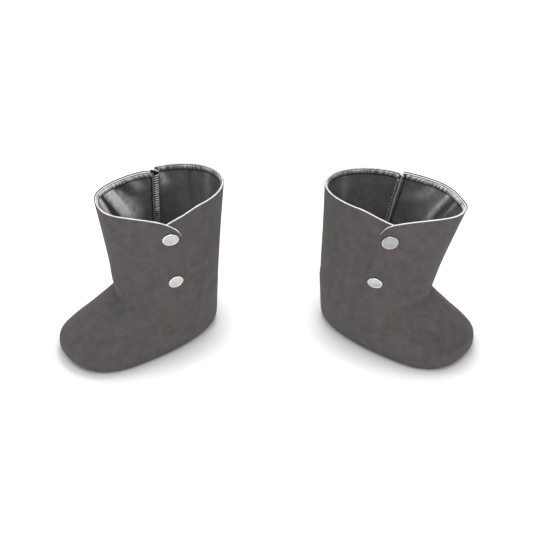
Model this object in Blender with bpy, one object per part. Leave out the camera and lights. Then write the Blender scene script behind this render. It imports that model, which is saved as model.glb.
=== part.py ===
"""A pair of small boot-shaped cloth covers, each closed by two snaps on a side flap.

Each cover is cut from a front panel, a back panel and a sole. The panels meet in a seam on
the outer side of the foot and overlap under a flap on the inner side. A narrow hem, gathered
into puckers, is turned in along the rim, and a light piping finishes the edge.

Units are metres with +Z up. The pair stands on its soles at z = 0, toes pointing outward.
A cover is described in its own frame first: x runs from the back of the heel toward the toe,
y toward the side with the snaps, and the angle runs round the leg from the heel (0) past the
seam side (90) and the toe (180) to the snap side (270).
"""

import math
from collections import namedtuple

import bmesh
import bpy
import numpy as np

MM = 0.001

# Sizes of the whole pair
RIM_HEIGHT = 118 * MM
CREASE_HEIGHT = 40 * MM
INSTEP_START = 14 * MM
TURN_CENTRE = 40 * MM
TWIST_START = 20 * MM
# How far the lean and the twist run on, with the rim's height as 1
LEG_REACH = 1.2

# Cloth and gaps
WALL = 1.5 * MM
GAP = 0.3 * MM
SOLE_THICKNESS = 1.8 * MM

# Side closure
OVERLAP_ANGLE = 31.0
UNDERLAP_DEPTH = 2.1 * MM
DIVE_FROM_ANGLE = 6.0
DIVE_TO_ANGLE = 1.2
DIVE_HEIGHTS = (38 * MM, 47 * MM)
SLIT_HEIGHTS = (48 * MM, 58 * MM)

# How the rim falls toward the closure, by distance from the flap's edge, and where it sags
FLAP_DIP_REACH = 13 * MM
CORNER_DROP = 7 * MM
CORNER_REACH = 6 * MM
SAG_ANGLE = 105.0
SAG_REACH = 38.0
UNDERLAP_DIP = 0.44
UNDERLAP_DIP_START = -18.5 * MM
UNDERLAP_DIP_REACH = 14 * MM
LENGTH_PER_DEGREE = 0.87 * MM

# How far both seams swing toward the heel below the crease, in degrees, to run straight down
SIDE_SEAM_SWING = 26.0
FLAP_SEAM_SWING = 32.0

# Edge piping, hem and seam strip
PIPING_RADIUS = 0.8 * MM
PIPING_END_RADII = (0.6 * MM, 0.35 * MM)
PIPING_SIDES = 6
HEM_TOP = 0.4 * MM
HEM_BOTTOM = 3.7 * MM
HEM_THICKNESS = 0.8 * MM
PUCKER_DEPTH = 0.5 * MM
PUCKER_PITCH = 3.6 * MM
STRIP_HALF_WIDTH = 2.2 * MM
STRIP_THICKNESS = 1.3 * MM
STRIP_LOWEST_ROW = 2

# Snaps
CAP_RADIUS = 6.25 * MM
BACK_RADIUS = 5.2 * MM
SNAP_SIDES = 16
CAP_CLEARANCE = 0.3 * MM
BACK_CLEARANCE = 0.45 * MM
SNAP_FROM_EDGE = 8.2 * MM
SNAP_HEIGHTS = {"top": 97 * MM, "low": 61 * MM}

# Outline of the foot and leg at each height, in millimetres. Heel and front are the ends of the
# outline along x, widest is where it is broadest, medial and lateral are its half widths toward
# the snaps and away from them, the two powers square off its toe end on those sides, and flat
# draws in its corner between the toe and the snaps.
Section = namedtuple(
    "Section", "height heel front widest medial lateral medial_power lateral_power flat"
)
SECTIONS = (
    Section(0.0, 5.0, 116.5, 84.0, 30.0, 31.0, 2.5, 2.4, 0.0),
    Section(2.0, 2.0, 121.0, 83.0, 33.5, 34.5, 2.5, 2.4, 0.0),
    Section(7.0, 0.0, 124.5, 80.0, 36.0, 37.0, 2.5, 2.4, 0.0),
    Section(14.0, 0.0, 125.0, 75.0, 37.5, 36.5, 2.45, 2.3, 0.0),
    Section(20.0, 0.0, 120.0, 68.0, 37.0, 34.5, 2.4, 2.2, 0.0),
    Section(27.0, 0.0, 107.0, 58.0, 35.5, 32.5, 2.2, 2.1, 0.0),
    Section(34.0, 0.0, 92.5, 48.0, 34.0, 31.5, 2.1, 2.1, 0.0),
    Section(40.0, 0.0, 80.0, 41.0, 32.7, 31.5, 2.1, 2.1, 0.2),
    Section(66.0, -0.8, 85.0, 43.0, 32.0, 31.5, 2.1, 2.2, 0.8),
    Section(92.0, -2.0, 91.5, 46.0, 31.5, 31.5, 2.1, 2.3, 1.8),
    Section(118.0, -3.5, 98.5, 49.0, 31.0, 31.5, 2.1, 2.35, 2.7),
)
BACK_POWER = 2.13
# Which way the flat corner is drawn in
FLAT_ALONG = 0.53
FLAT_ACROSS = 0.85

# Heights of the panels' grid rows, in millimetres, up to where they start to follow the rim
ROW_HEIGHTS = (0.0, 2.0, 5.0, 9.0, 14.0, 19.5, 25.0, 30.0, 35.0, 40.0, 44.0, 48.0, 51.5, 55.0,
               59.0, 67.0, 76.0, 85.0)
# Grid columns of the panels' bodies, and their closer columns by the flap's edge, in degrees from
# it: the front panel's, and the back panel's below the slit and where it is open
FRONT_COLUMNS = 21
BACK_COLUMNS = 18
FLAP_COLUMNS = (8.5, 5.0, 2.6, 0.9, 0.0)
CLOSED_COLUMNS = (0.0, 1.0, 2.0, 3.0, 4.0, 5.2, 6.6)
OPEN_COLUMNS = (-OVERLAP_ANGLE, -22.0, -12.5, -4.5, DIVE_TO_ANGLE, 3.6, 6.6)
# Depths of the last rows below the wall's top edge, in millimetres
TOP_ROW_DEPTHS = (13.0, 4.5, 0.0)

# How each cover of the pair stands. Place is the back of the heel on the floor, in metres. Yaw
# turns the toe from the X axis toward the front, twist turns the rim further, lean moves the
# rim toward the toe, stretch lengthens it, width broadens it, ankle and toe lengthen the foot
# at the crease and at the toe, and ball broadens it toward the snaps. Tilt raises the rim's
# heel side and rise its seam side, dip is how far it falls to the flap's edge, and sag how far
# the front panel's rim hangs between the seam and the toe. Flap and seam are the angles of the
# flap's edge and of the side seam, the seam's at the floor and at the rim.
Cover = namedtuple(
    "Cover", "name mirror place yaw twist lean stretch width ankle toe ball top tilt rise dip sag"
    " flap blunt seam"
)
COVERS = (
    Cover("left", 1, (-41.7 * MM, 35.3 * MM), yaw=33.5, twist=-3.0, lean=-5.7 * MM,
          stretch=-2.1 * MM, width=1.01, ankle=0.0, toe=1.0 * MM, ball=0.0,
          top=RIM_HEIGHT + 1.5 * MM, tilt=0.8 * MM, rise=2.1 * MM, dip=17.2 * MM,
          sag=2.0 * MM, flap=269.2, blunt=0.0, seam=(77.0, 77.0)),
    Cover("right", -1, (44.8 * MM, 39.6 * MM), yaw=35.0, twist=-8.0, lean=5.6 * MM,
          stretch=-0.5 * MM, width=1.01, ankle=6.5 * MM, toe=-1.5 * MM, ball=-1.0 * MM,
          top=RIM_HEIGHT + 0.7 * MM, tilt=0.0, rise=0.7 * MM, dip=11.6 * MM,
          sag=0.5 * MM, flap=264.4, blunt=-0.22, seam=(67.0, 82.5)),
)

Panel = namedtuple("Panel", "outer normal")


def clear_scene():
    """Removes what a new file starts with."""
    for item in list(bpy.data.objects):
        bpy.data.objects.remove(item, do_unlink=True)


def make_material(name, colour, roughness, metallic=0.0):
    """Returns a plain surface of one colour."""
    material = bpy.data.materials.new(name)
    material.use_nodes = True
    shader = material.node_tree.nodes["Principled BSDF"]
    shader.inputs["Base Color"].default_value = (*colour, 1.0)
    shader.inputs["Roughness"].default_value = roughness
    shader.inputs["Metallic"].default_value = metallic
    material.diffuse_color = (*colour, 1.0)
    return material


def ramp(value, start, end):
    """Rises smoothly from 0 at start to 1 at end."""
    t = np.clip((value - start) / (end - start), 0.0, 1.0)
    return t * t * (3 - 2 * t)


def through_rows(heights, values, height):
    """Reads a smooth curve through the table's values that never overshoots them."""
    step = np.diff(heights)
    slope = np.diff(values) / step
    tangent = np.zeros(len(heights))
    tangent[0] = slope[0]
    tangent[-1] = slope[-1]
    for row in range(1, len(heights) - 1):
        if slope[row - 1] * slope[row] > 0:
            before = 2 * step[row] + step[row - 1]
            after = step[row] + 2 * step[row - 1]
            tangent[row] = (before + after) / (before / slope[row - 1] + after / slope[row])
    row = np.clip(np.searchsorted(heights, height, side="right") - 1, 0, len(step) - 1)
    t = (height - heights[row]) / step[row]
    return (
        (2 * t**3 - 3 * t**2 + 1) * values[row]
        + (t**3 - 2 * t**2 + t) * step[row] * tangent[row]
        + (3 * t**2 - 2 * t**3) * values[row + 1]
        + (t**3 - t**2) * step[row] * tangent[row + 1]
    )


def section_at(cover, height):
    """Returns the outline's sizes at each height, in metres, with this cover's own stance."""
    heights = np.array([row.height for row in SECTIONS]) * MM
    size = {}
    for column in Section._fields[1:]:
        values = np.array([getattr(row, column) for row in SECTIONS])
        if not column.endswith("power"):
            values = values * MM
        size[column] = through_rows(heights, values, height)
        if column == "front":
            # the front is creased at the ankle, so each side of the crease is read by itself
            crease = int(np.argmin(abs(heights - CREASE_HEIGHT)))
            below = through_rows(heights[: crease + 1], values[: crease + 1],
                                 np.minimum(height, CREASE_HEIGHT))
            above = through_rows(heights[crease:], values[crease:],
                                 np.maximum(height, CREASE_HEIGHT))
            size[column] = np.where(height <= CREASE_HEIGHT, below, above)
    up = np.clip((height - CREASE_HEIGHT) / (RIM_HEIGHT - CREASE_HEIGHT), 0.0, LEG_REACH)
    instep = np.clip((height - INSTEP_START) / (CREASE_HEIGHT - INSTEP_START), 0.0, 1.0)
    size["heel"] = size["heel"] + (cover.lean - cover.stretch) * up
    size["front"] = (size["front"] + (cover.lean + cover.stretch) * up
                     + cover.ankle * instep + cover.toe * (1 - instep))
    size["widest"] = size["widest"] + cover.lean * up + cover.ankle * instep / 2
    broader = 1 + (cover.width - 1) * up
    size["medial"] = size["medial"] * broader + cover.ball * (1 - instep)
    size["lateral"] = size["lateral"] * broader
    size["lateral_power"] = size["lateral_power"] + cover.blunt * up
    return size


def surface(cover, angle, height):
    """Returns points on the outer face of the cloth, for angles in degrees and heights."""
    angle, height = np.broadcast_arrays(np.asarray(angle, float), np.asarray(height, float))
    size = section_at(cover, height)
    turn = np.radians(angle)
    along = np.cos(turn)
    across = np.sin(turn)
    toe_power = np.where(across > 0, size["lateral_power"], size["medial_power"])
    power = np.where(along > 0, BACK_POWER, toe_power)
    along_part = np.abs(along) ** (2 / power)
    across_part = np.abs(across) ** (2 / power)
    x = np.where(along > 0,
                 size["widest"] - (size["widest"] - size["heel"]) * along_part,
                 size["widest"] + (size["front"] - size["widest"]) * along_part)
    half_width = np.where(across > 0, size["lateral"], size["medial"])
    y = -np.sign(across) * half_width * across_part
    corner = np.where((along < 0) & (across < 0), np.sin(2 * turn) ** 2, 0.0) * size["flat"]
    x = x + corner * along * FLAT_ALONG
    y = y - corner * FLAT_ACROSS
    # stand the leg on the floor: turn it to its yaw, and its rim a little further
    up = np.clip((height - TWIST_START) / (RIM_HEIGHT - TWIST_START), 0.0, LEG_REACH)
    foot_turn = math.radians(cover.yaw)
    leg_turn = foot_turn + np.radians(cover.twist) * up
    from_centre = x - TURN_CENTRE
    world_x = (-math.cos(foot_turn) * TURN_CENTRE - np.cos(leg_turn) * from_centre
               + np.sin(leg_turn) * y)
    world_y = (-math.sin(foot_turn) * TURN_CENTRE - np.sin(leg_turn) * from_centre
               - np.cos(leg_turn) * y)
    return np.stack(
        (cover.mirror * world_x + cover.place[0], world_y + cover.place[1], height), axis=-1
    )


def outward(cover, angle, height):
    """Returns the cloth's unit normals, pointing out of the leg."""
    angle, height = np.broadcast_arrays(np.asarray(angle, float), np.asarray(height, float))
    small_turn = 0.5
    small_rise = 0.25 * MM
    round_leg = (surface(cover, angle + small_turn, height)
                 - surface(cover, angle - small_turn, height))
    up_leg = (surface(cover, angle, height + small_rise)
              - surface(cover, angle, height - small_rise))
    normal = np.cross(round_leg, up_leg) * cover.mirror
    return normal / np.linalg.norm(normal, axis=-1, keepdims=True)


def flap_distance(cover, angle):
    """Returns how far a point lies on the toe side of the flap's edge, along the cloth."""
    return (cover.flap - np.asarray(angle, float)) * LENGTH_PER_DEGREE


def wall_top(cover, angle, underlap):
    """Returns the height of a panel's top edge, below the piping that lies on it."""
    angle = np.asarray(angle, float)
    turn = np.radians(angle)
    rim = cover.top + cover.tilt * np.cos(turn) + cover.rise * np.sin(turn)
    level = rim - 2 * PIPING_RADIUS - GAP
    distance = flap_distance(cover, angle)
    if underlap:
        # the angles of the back panel run on past 360, so only its front end is near the flap
        run = np.maximum(distance - UNDERLAP_DIP_START, 0.0)
        return level - UNDERLAP_DIP * run**2 / (run + UNDERLAP_DIP_REACH)
    dip = cover.dip * np.exp(-np.maximum(distance, 0.0) / FLAP_DIP_REACH)
    sag = cover.sag * np.exp(-(((angle - SAG_ANGLE) / SAG_REACH) ** 2))
    inside_corner = np.clip(1 - distance / CORNER_REACH, 0.0, 1.0)
    corner = CORNER_DROP * (1 - np.sqrt(1 - inside_corner**2))
    return level - dip - sag - corner


def panel_heights(tops):
    """Returns the grid's heights: level rows below, then rows that follow the top edge."""
    level = np.array(ROW_HEIGHTS) * MM
    rows = [np.full(len(tops), height) for height in level]
    for depth in TOP_ROW_DEPTHS:
        rows.append(tops - depth * MM * (tops - level[-1]) / (np.max(tops) - level[-1]))
    return np.array(rows)


def front_panel(cover):
    """Lays out the toe, the front of the leg and the flap, from the seam to the flap's edge."""
    near_edge = np.array(FLAP_COLUMNS) + half_gap_angle()
    body = np.linspace(0.0, 1.0, FRONT_COLUMNS, endpoint=False)

    def angles_at(heights):
        start = side_seam_angle(cover, heights) + half_gap_angle()
        end = flap_seam_angle(cover, heights)
        from_seam = start + (end - near_edge[0] - start) * np.append(body, near_edge * 0)
        from_flap = end - np.append(body * 0, near_edge)
        return np.where(np.arange(from_seam.shape[-1]) < len(body), from_seam, from_flap)

    tops = wall_top(cover, angles_at(RIM_HEIGHT), underlap=False)
    heights = panel_heights(tops)
    angles = angles_at(heights)
    return Panel(surface(cover, angles, heights), outward(cover, angles, heights))


def back_panel(cover):
    """Lays out the heel, the back of the leg and the underlap, from its free edge to the seam."""
    closed = np.array(CLOSED_COLUMNS) + half_gap_angle()
    opened = np.array(OPEN_COLUMNS)
    body = np.linspace(0.0, 1.0, BACK_COLUMNS + 1)[1:]

    def angles_at(heights):
        start = flap_seam_angle(cover, heights)
        end = 360 + side_seam_angle(cover, heights) - half_gap_angle()
        slit = ramp(heights, *SLIT_HEIGHTS)
        shut = np.append(closed, body * 0)
        open_wide = np.append(opened, body * 0)
        near_flap = start + shut * (1 - slit) + open_wide * slit
        body_start = start + closed[-1]
        behind = body_start + (end - body_start) * np.append(closed * 0, body)
        return np.where(np.arange(behind.shape[-1]) < len(closed), near_flap, behind)

    tops = wall_top(cover, angles_at(RIM_HEIGHT), underlap=True)
    heights = panel_heights(tops)
    angles = angles_at(heights)
    normal = outward(cover, angles, heights)
    depth = underlap_depth(cover, angles, heights)
    return Panel(surface(cover, angles, heights) - normal * depth[..., None], normal)


def underlap_depth(cover, angle, height):
    """Returns how far the back panel lies inside the leg's outline, under the flap."""
    across = 1 - ramp(angle - cover.flap, DIVE_TO_ANGLE, DIVE_FROM_ANGLE)
    return UNDERLAP_DEPTH * across * ramp(height, *DIVE_HEIGHTS)


def foot_share(height):
    """Returns 1 on the floor and 0 from the crease up, for the seams' run down the foot."""
    return 1 - np.clip(np.asarray(height, float) / CREASE_HEIGHT, 0.0, 1.0) ** 2


def side_seam_angle(cover, height):
    """Returns the angle of the side seam, which may lean from the floor to the rim."""
    low, high = cover.seam
    return (low + (high - low) * np.asarray(height, float) / RIM_HEIGHT
            - SIDE_SEAM_SWING * foot_share(height))


def flap_seam_angle(cover, height):
    """Returns the angle of the flap's edge, and of the seam that runs on below it."""
    return cover.flap + FLAP_SEAM_SWING * foot_share(height)


def half_gap_angle():
    """Returns half the gap between two panels, as an angle."""
    return GAP / 2 / LENGTH_PER_DEGREE


def moved_in(panel, distance):
    """Returns the panel's points moved into the leg, with the lowest row kept on the floor."""
    points = panel.outer - panel.normal * distance
    level = panel.normal[0] * (1, 1, 0)
    level = level / np.linalg.norm(level, axis=-1, keepdims=True)
    points[0] = panel.outer[0] - level * distance
    return points


def add_object(name, mesh_maker, material, smooth_angle=40):
    """Adds a named object whose closed mesh the maker fills in."""
    shape = bmesh.new()
    mesh_maker(shape)
    bmesh.ops.recalc_face_normals(shape, faces=shape.faces)
    mesh = bpy.data.meshes.new(name)
    shape.to_mesh(mesh)
    shape.free()
    mesh.materials.append(material)
    mesh.shade_smooth()
    mesh.set_sharp_from_angle(angle=math.radians(smooth_angle))
    item = bpy.data.objects.new(name, mesh)
    bpy.context.scene.collection.objects.link(item)
    return item


def slab(outer, inner):
    """Returns a maker of the closed sheet between two grids of points."""
    def fill(shape):
        sides = []
        for grid in (outer, inner):
            sides.append([[shape.verts.new(point) for point in row] for row in grid])
        row_count = len(outer)
        column_count = len(outer[0])
        for side in sides:
            for row in range(row_count - 1):
                for column in range(column_count - 1):
                    shape.faces.new((side[row][column], side[row][column + 1],
                                     side[row + 1][column + 1], side[row + 1][column]))
        rim = [(0, column) for column in range(column_count)]
        rim += [(row, column_count - 1) for row in range(1, row_count)]
        rim += [(row_count - 1, column) for column in range(column_count - 2, -1, -1)]
        rim += [(row, 0) for row in range(row_count - 2, 0, -1)]
        for (row, column), (next_row, next_column) in zip(rim, rim[1:] + rim[:1]):
            shape.faces.new((sides[0][row][column], sides[0][next_row][next_column],
                             sides[1][next_row][next_column], sides[1][row][column]))
    return fill


def tube(path, across, up, radii):
    """Returns a maker of a closed round tube along a path, given its two cross directions."""
    def fill(shape):
        rings = []
        for centre, side, rise, radius in zip(path, across, up, radii):
            turns = (2 * math.pi * step / PIPING_SIDES for step in range(PIPING_SIDES))
            rings.append([shape.verts.new(centre + radius * (math.cos(turn) * side
                                                             + math.sin(turn) * rise))
                          for turn in turns])
        for ring, following in zip(rings, rings[1:]):
            for step in range(PIPING_SIDES):
                after = (step + 1) % PIPING_SIDES
                shape.faces.new((ring[step], ring[after], following[after], following[step]))
        shape.faces.new(rings[0])
        shape.faces.new(rings[-1])
    return fill


def turned(centre, axis, profile):
    """Returns a maker of a round piece turned about an axis, from a profile of radius, height.

    The profile starts and ends on the axis.
    """
    side = np.cross(axis, (0.0, 0.0, 1.0))
    side = side / np.linalg.norm(side)
    rise = np.cross(side, axis)

    def fill(shape):
        first = shape.verts.new(centre + axis * profile[0][1])
        last = shape.verts.new(centre + axis * profile[-1][1])
        rings = []
        for radius, height in profile[1:-1]:
            ring = []
            for step in range(SNAP_SIDES):
                turn = 2 * math.pi * step / SNAP_SIDES
                ring.append(shape.verts.new(centre + axis * height + radius
                                            * (math.cos(turn) * side + math.sin(turn) * rise)))
            rings.append(ring)
        for step in range(SNAP_SIDES):
            after = (step + 1) % SNAP_SIDES
            shape.faces.new((first, rings[0][step], rings[0][after]))
            shape.faces.new((last, rings[-1][after], rings[-1][step]))
            for ring, following in zip(rings, rings[1:]):
                shape.faces.new((ring[step], following[step], following[after], ring[after]))
    return fill


def between(grid, column, share):
    """Returns a grid's column, read between two neighbours."""
    return grid[:, column] * (1 - share) + grid[:, column + 1] * share


def hem_grids(panel, first, last):
    """Returns the two faces of the puckered hem inside a panel's top edge.

    It runs between two distances along the edge, measured from the panel's first column. Its
    points are read from the panel's own top cells, so that it follows the panel's facets.
    """
    top_edge = panel.outer[-1]
    lengths = np.linalg.norm(np.diff(top_edge, axis=0), axis=1)
    along = np.concatenate(((0.0,), np.cumsum(lengths)))
    start = first
    end = along[-1] - last
    puckers = round((end - start) / PUCKER_PITCH)
    stations = np.linspace(start, end, 2 * puckers + 1)
    outer_rows = []
    inner_rows = []
    cell_height = np.linalg.norm(panel.outer[-1] - panel.outer[-2], axis=1)
    for depth in (HEM_BOTTOM, HEM_TOP):
        outer_row = []
        inner_row = []
        for number, station in enumerate(stations):
            column = min(int(np.searchsorted(along, station, side="right")) - 1, len(lengths) - 1)
            share = (station - along[column]) / lengths[column]
            drop = depth / (cell_height[column] * (1 - share) + cell_height[column + 1] * share)
            point = between(panel.outer, column, share)
            normal = between(panel.normal, column, share)
            edge_point = point[-1] * (1 - drop) + point[-2] * drop
            edge_normal = normal[-1] * (1 - drop) + normal[-2] * drop
            uneven = 0.7 + 0.3 * math.sin(1.7 * number)
            bulge = PUCKER_DEPTH * uneven if number % 2 else 0.0
            outer_row.append(edge_point - edge_normal * (WALL + GAP))
            inner_row.append(edge_point - edge_normal * (WALL + GAP + HEM_THICKNESS + bulge))
        outer_rows.append(outer_row)
        inner_rows.append(inner_row)
    return np.array(outer_rows), np.array(inner_rows)


def add_hem(name, panel, first, last, material):
    """Adds the hem of one panel."""
    outer, inner = hem_grids(panel, first, last)
    add_object(name, slab(outer, inner), material)


def add_piping(cover, name, panel, ends_thin, material):
    """Adds the round edging that lies on a panel's top edge."""
    edge = panel.outer[-1] - panel.normal[-1] * WALL / 2
    tangent = np.gradient(edge, axis=0)
    tangent = tangent / np.linalg.norm(tangent, axis=1, keepdims=True)
    rise = np.cross(panel.normal[-1], tangent) * cover.mirror
    rise = rise / np.linalg.norm(rise, axis=1, keepdims=True)
    radii = np.full(len(edge), PIPING_RADIUS)
    if ends_thin:
        radii[-2:] = PIPING_END_RADII
    path = edge + rise * (GAP + radii)[:, None]
    add_object(name, tube(path, panel.normal[-1], rise, radii), material, smooth_angle=70)


def add_seam_strip(cover, front, back, material):
    """Adds the strip of seam allowance inside the side seam, made from both panels' points."""
    front_step = np.linalg.norm(front.outer[:, 1] - front.outer[:, 0], axis=1)[:, None]
    back_step = np.linalg.norm(back.outer[:, -2] - back.outer[:, -1], axis=1)[:, None]
    grids = []
    for depth in (WALL + GAP, WALL + GAP + STRIP_THICKNESS):
        front_in = front.outer - front.normal * depth
        back_in = back.outer - back.normal * depth
        front_way = (front_in[:, 1] - front_in[:, 0]) / front_step
        back_way = (back_in[:, -2] - back_in[:, -1]) / back_step
        front_side = front_in[:, 0] + front_way * STRIP_HALF_WIDTH
        back_side = back_in[:, -1] + back_way * STRIP_HALF_WIDTH
        grid = np.stack((front_side, front_in[:, 0], back_in[:, -1], back_side), axis=1)
        grids.append(grid[STRIP_LOWEST_ROW:])
    add_object(f"{cover.name}_seam_strip", slab(*grids), material)


def add_sole(cover, front, back, material):
    """Adds the flat sole inside the panels' bottom edges."""
    ring = []
    for panel in (front, back):
        ring.extend(moved_in(panel, WALL + GAP)[0])

    def fill(shape):
        levels = []
        for height in (0.0, SOLE_THICKNESS):
            levels.append([shape.verts.new((point[0], point[1], height)) for point in ring])
        for step in range(len(ring)):
            after = (step + 1) % len(ring)
            shape.faces.new((levels[0][step], levels[0][after], levels[1][after], levels[1][step]))
        shape.faces.new(levels[0])
        shape.faces.new(levels[1])
    add_object(f"{cover.name}_sole", fill, material)


def add_snaps(cover, metal, dark_metal):
    """Adds both snaps: a cap on the flap and a back on the underlap's inner face."""
    cap_profile = ((0.0, 0.0), (CAP_RADIUS - 0.2 * MM, 0.0), (CAP_RADIUS, 0.3 * MM),
                   (CAP_RADIUS - 0.3 * MM, 0.7 * MM), (CAP_RADIUS - 1.0 * MM, 0.85 * MM),
                   (CAP_RADIUS / 2, 0.95 * MM), (0.0, 1.0 * MM))
    back_profile = ((0.0, 0.0), (BACK_RADIUS, 0.0), (BACK_RADIUS, 0.5 * MM),
                    (BACK_RADIUS - 1.0 * MM, 1.8 * MM), (BACK_RADIUS - 2.0 * MM, 1.8 * MM),
                    (BACK_RADIUS - 2.3 * MM, 0.9 * MM), (0.0, 0.9 * MM))
    angle = cover.flap - SNAP_FROM_EDGE / LENGTH_PER_DEGREE
    for name, height in SNAP_HEIGHTS.items():
        place = surface(cover, angle, height)
        axis = outward(cover, angle, height)
        add_object(f"{cover.name}_{name}_snap_cap",
                   turned(place + axis * CAP_CLEARANCE, axis, cap_profile), metal)
        behind = place - axis * (UNDERLAP_DEPTH + WALL + BACK_CLEARANCE)
        add_object(f"{cover.name}_{name}_snap_back", turned(behind, -axis, back_profile), dark_metal)


def add_cover(cover, materials):
    """Adds every piece of one cover."""
    front = front_panel(cover)
    back = back_panel(cover)
    for name, panel in (("front", front), ("back", back)):
        add_object(f"{cover.name}_{name}_panel", slab(panel.outer, moved_in(panel, WALL)),
                   materials["cloth"])
    add_sole(cover, front, back, materials["cloth"])
    clear_of_strip = STRIP_HALF_WIDTH + GAP
    behind_underlap = (OVERLAP_ANGLE + 2.0) * LENGTH_PER_DEGREE
    add_hem(f"{cover.name}_front_hem", front, clear_of_strip, behind_underlap, materials["lining"])
    add_hem(f"{cover.name}_back_hem", back, GAP, clear_of_strip, materials["lining"])
    add_seam_strip(cover, front, back, materials["lining"])
    add_piping(cover, f"{cover.name}_front_piping", front, True, materials["piping"])
    add_piping(cover, f"{cover.name}_back_piping", back, False, materials["piping"])
    add_snaps(cover, materials["metal"], materials["dark_metal"])


def main():
    """Models the pair."""
    clear_scene()
    materials = {
        "cloth": make_material("charcoal_cloth", (0.100, 0.094, 0.090), 0.9),
        "lining": make_material("grey_lining", (0.055, 0.055, 0.056), 0.6),
        "piping": make_material("light_piping", (0.85, 0.85, 0.84), 0.8),
        "metal": make_material("satin_metal", (0.62, 0.62, 0.61), 0.35, 1.0),
        "dark_metal": make_material("dull_metal", (0.45, 0.45, 0.45), 0.45, 1.0),
    }
    for cover in COVERS:
        add_cover(cover, materials)


main()
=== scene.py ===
"""Looks of a pair of small boot-shaped cloth covers with snapped side flaps.

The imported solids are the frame. Every cloth solid is replaced by a finer shell that follows the
same sections: charcoal cloth outside and a satin lining inside, with a gathered hem, an
overlocked seam tape, light edging at the rim and satin snaps. Units are metres with +Z up.
Angles run round each leg from the heel (0) past the seam side (90) and the toe (180) to the
snap side (270), as in the solids.
"""

import math
from collections import namedtuple

import bpy
import numpy as np
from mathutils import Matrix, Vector


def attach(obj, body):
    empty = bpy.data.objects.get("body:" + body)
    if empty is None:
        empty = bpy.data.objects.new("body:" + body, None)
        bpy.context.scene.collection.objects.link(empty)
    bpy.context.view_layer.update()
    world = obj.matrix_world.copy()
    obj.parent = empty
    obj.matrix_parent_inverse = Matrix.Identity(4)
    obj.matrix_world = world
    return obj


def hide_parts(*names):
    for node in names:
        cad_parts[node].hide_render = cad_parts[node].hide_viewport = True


MM = 0.001
BODY = "root"

# Form of the covers, in the sizes that their solids have
RIM_HEIGHT = 118 * MM
CREASE_HEIGHT = 40 * MM
INSTEP_START = 14 * MM
TURN_CENTRE = 40 * MM
TWIST_START = 20 * MM
LEG_REACH = 1.2
OVERLAP_ANGLE = 31.0
SLIT_HEIGHTS = (48 * MM, 58 * MM)
DIVE_HEIGHTS = (38 * MM, 47 * MM)
FLAP_DIP_REACH = 13 * MM
SAG_ANGLE = 105.0
SAG_REACH = 38.0
UNDERLAP_DIP = 0.44
UNDERLAP_DIP_START = -18.5 * MM
UNDERLAP_DIP_REACH = 14 * MM
# The length of one degree round the leg
DEGREE = 0.87 * MM
SIDE_SEAM_SWING = 26.0
FLAP_SEAM_SWING = 32.0
EDGE_ALLOWANCE = 1.9 * MM
BACK_POWER = 2.13
FLAT_ALONG = 0.53
FLAT_ACROSS = 0.85
SNAP_FROM_EDGE = 8.2 * MM
SNAP_HEIGHTS = {"top": 97 * MM, "low": 61 * MM}
# The finished flap's corner is tighter than its solid's, and its dip levels out before the edge
CORNER_DROP = 5 * MM
CORNER_REACH = 4.2 * MM
DIP_LEVELS = 4 * MM

Section = namedtuple(
    "Section", "height heel front widest medial lateral medial_power lateral_power flat"
)
SECTIONS = (
    Section(0, 5, 116.5, 84, 30, 31, 2.5, 2.4, 0),
    Section(2, 2, 121, 83, 33.5, 34.5, 2.5, 2.4, 0),
    Section(7, 0, 124.5, 80, 36, 37, 2.5, 2.4, 0),
    Section(14, 0, 125, 75, 37.5, 36.5, 2.45, 2.3, 0),
    Section(20, 0, 120, 68, 37, 34.5, 2.4, 2.2, 0),
    Section(27, 0, 107, 58, 35.5, 32.5, 2.2, 2.1, 0),
    Section(34, 0, 92.5, 48, 34, 31.5, 2.1, 2.1, 0),
    Section(40, 0, 80, 41, 32.7, 31.5, 2.1, 2.1, 0.2),
    Section(66, -0.8, 85, 43, 32, 31.5, 2.1, 2.2, 0.8),
    Section(92, -2, 91.5, 46, 31.5, 31.5, 2.1, 2.3, 1.8),
    Section(118, -3.5, 98.5, 49, 31, 31.5, 2.1, 2.35, 2.7),
)
Cover = namedtuple(
    "Cover", "name mirror place yaw twist lean stretch width ankle toe ball top tilt rise dip sag"
    " flap blunt seam"
)
COVERS = (
    Cover("left", 1, (-41.7 * MM, 35.3 * MM), yaw=33.5, twist=-3.0, lean=-5.7 * MM,
          stretch=-2.1 * MM, width=1.01, ankle=0.0, toe=1.0 * MM, ball=0.0,
          top=RIM_HEIGHT + 1.5 * MM, tilt=0.8 * MM, rise=2.1 * MM, dip=17.2 * MM,
          sag=2.0 * MM, flap=269.2, blunt=0.0, seam=(77.0, 77.0)),
    Cover("right", -1, (44.8 * MM, 39.6 * MM), yaw=35.0, twist=-8.0, lean=5.6 * MM,
          stretch=-0.5 * MM, width=1.01, ankle=6.5 * MM, toe=-1.5 * MM, ball=-1.0 * MM,
          top=RIM_HEIGHT + 0.7 * MM, tilt=0.0, rise=0.7 * MM, dip=11.6 * MM,
          sag=0.5 * MM, flap=264.4, blunt=-0.22, seam=(67.0, 82.5)),
)

# Fine cloth
CLOTH = 1.0 * MM
UNDERLAP_DEPTH = 1.35 * MM
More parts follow.
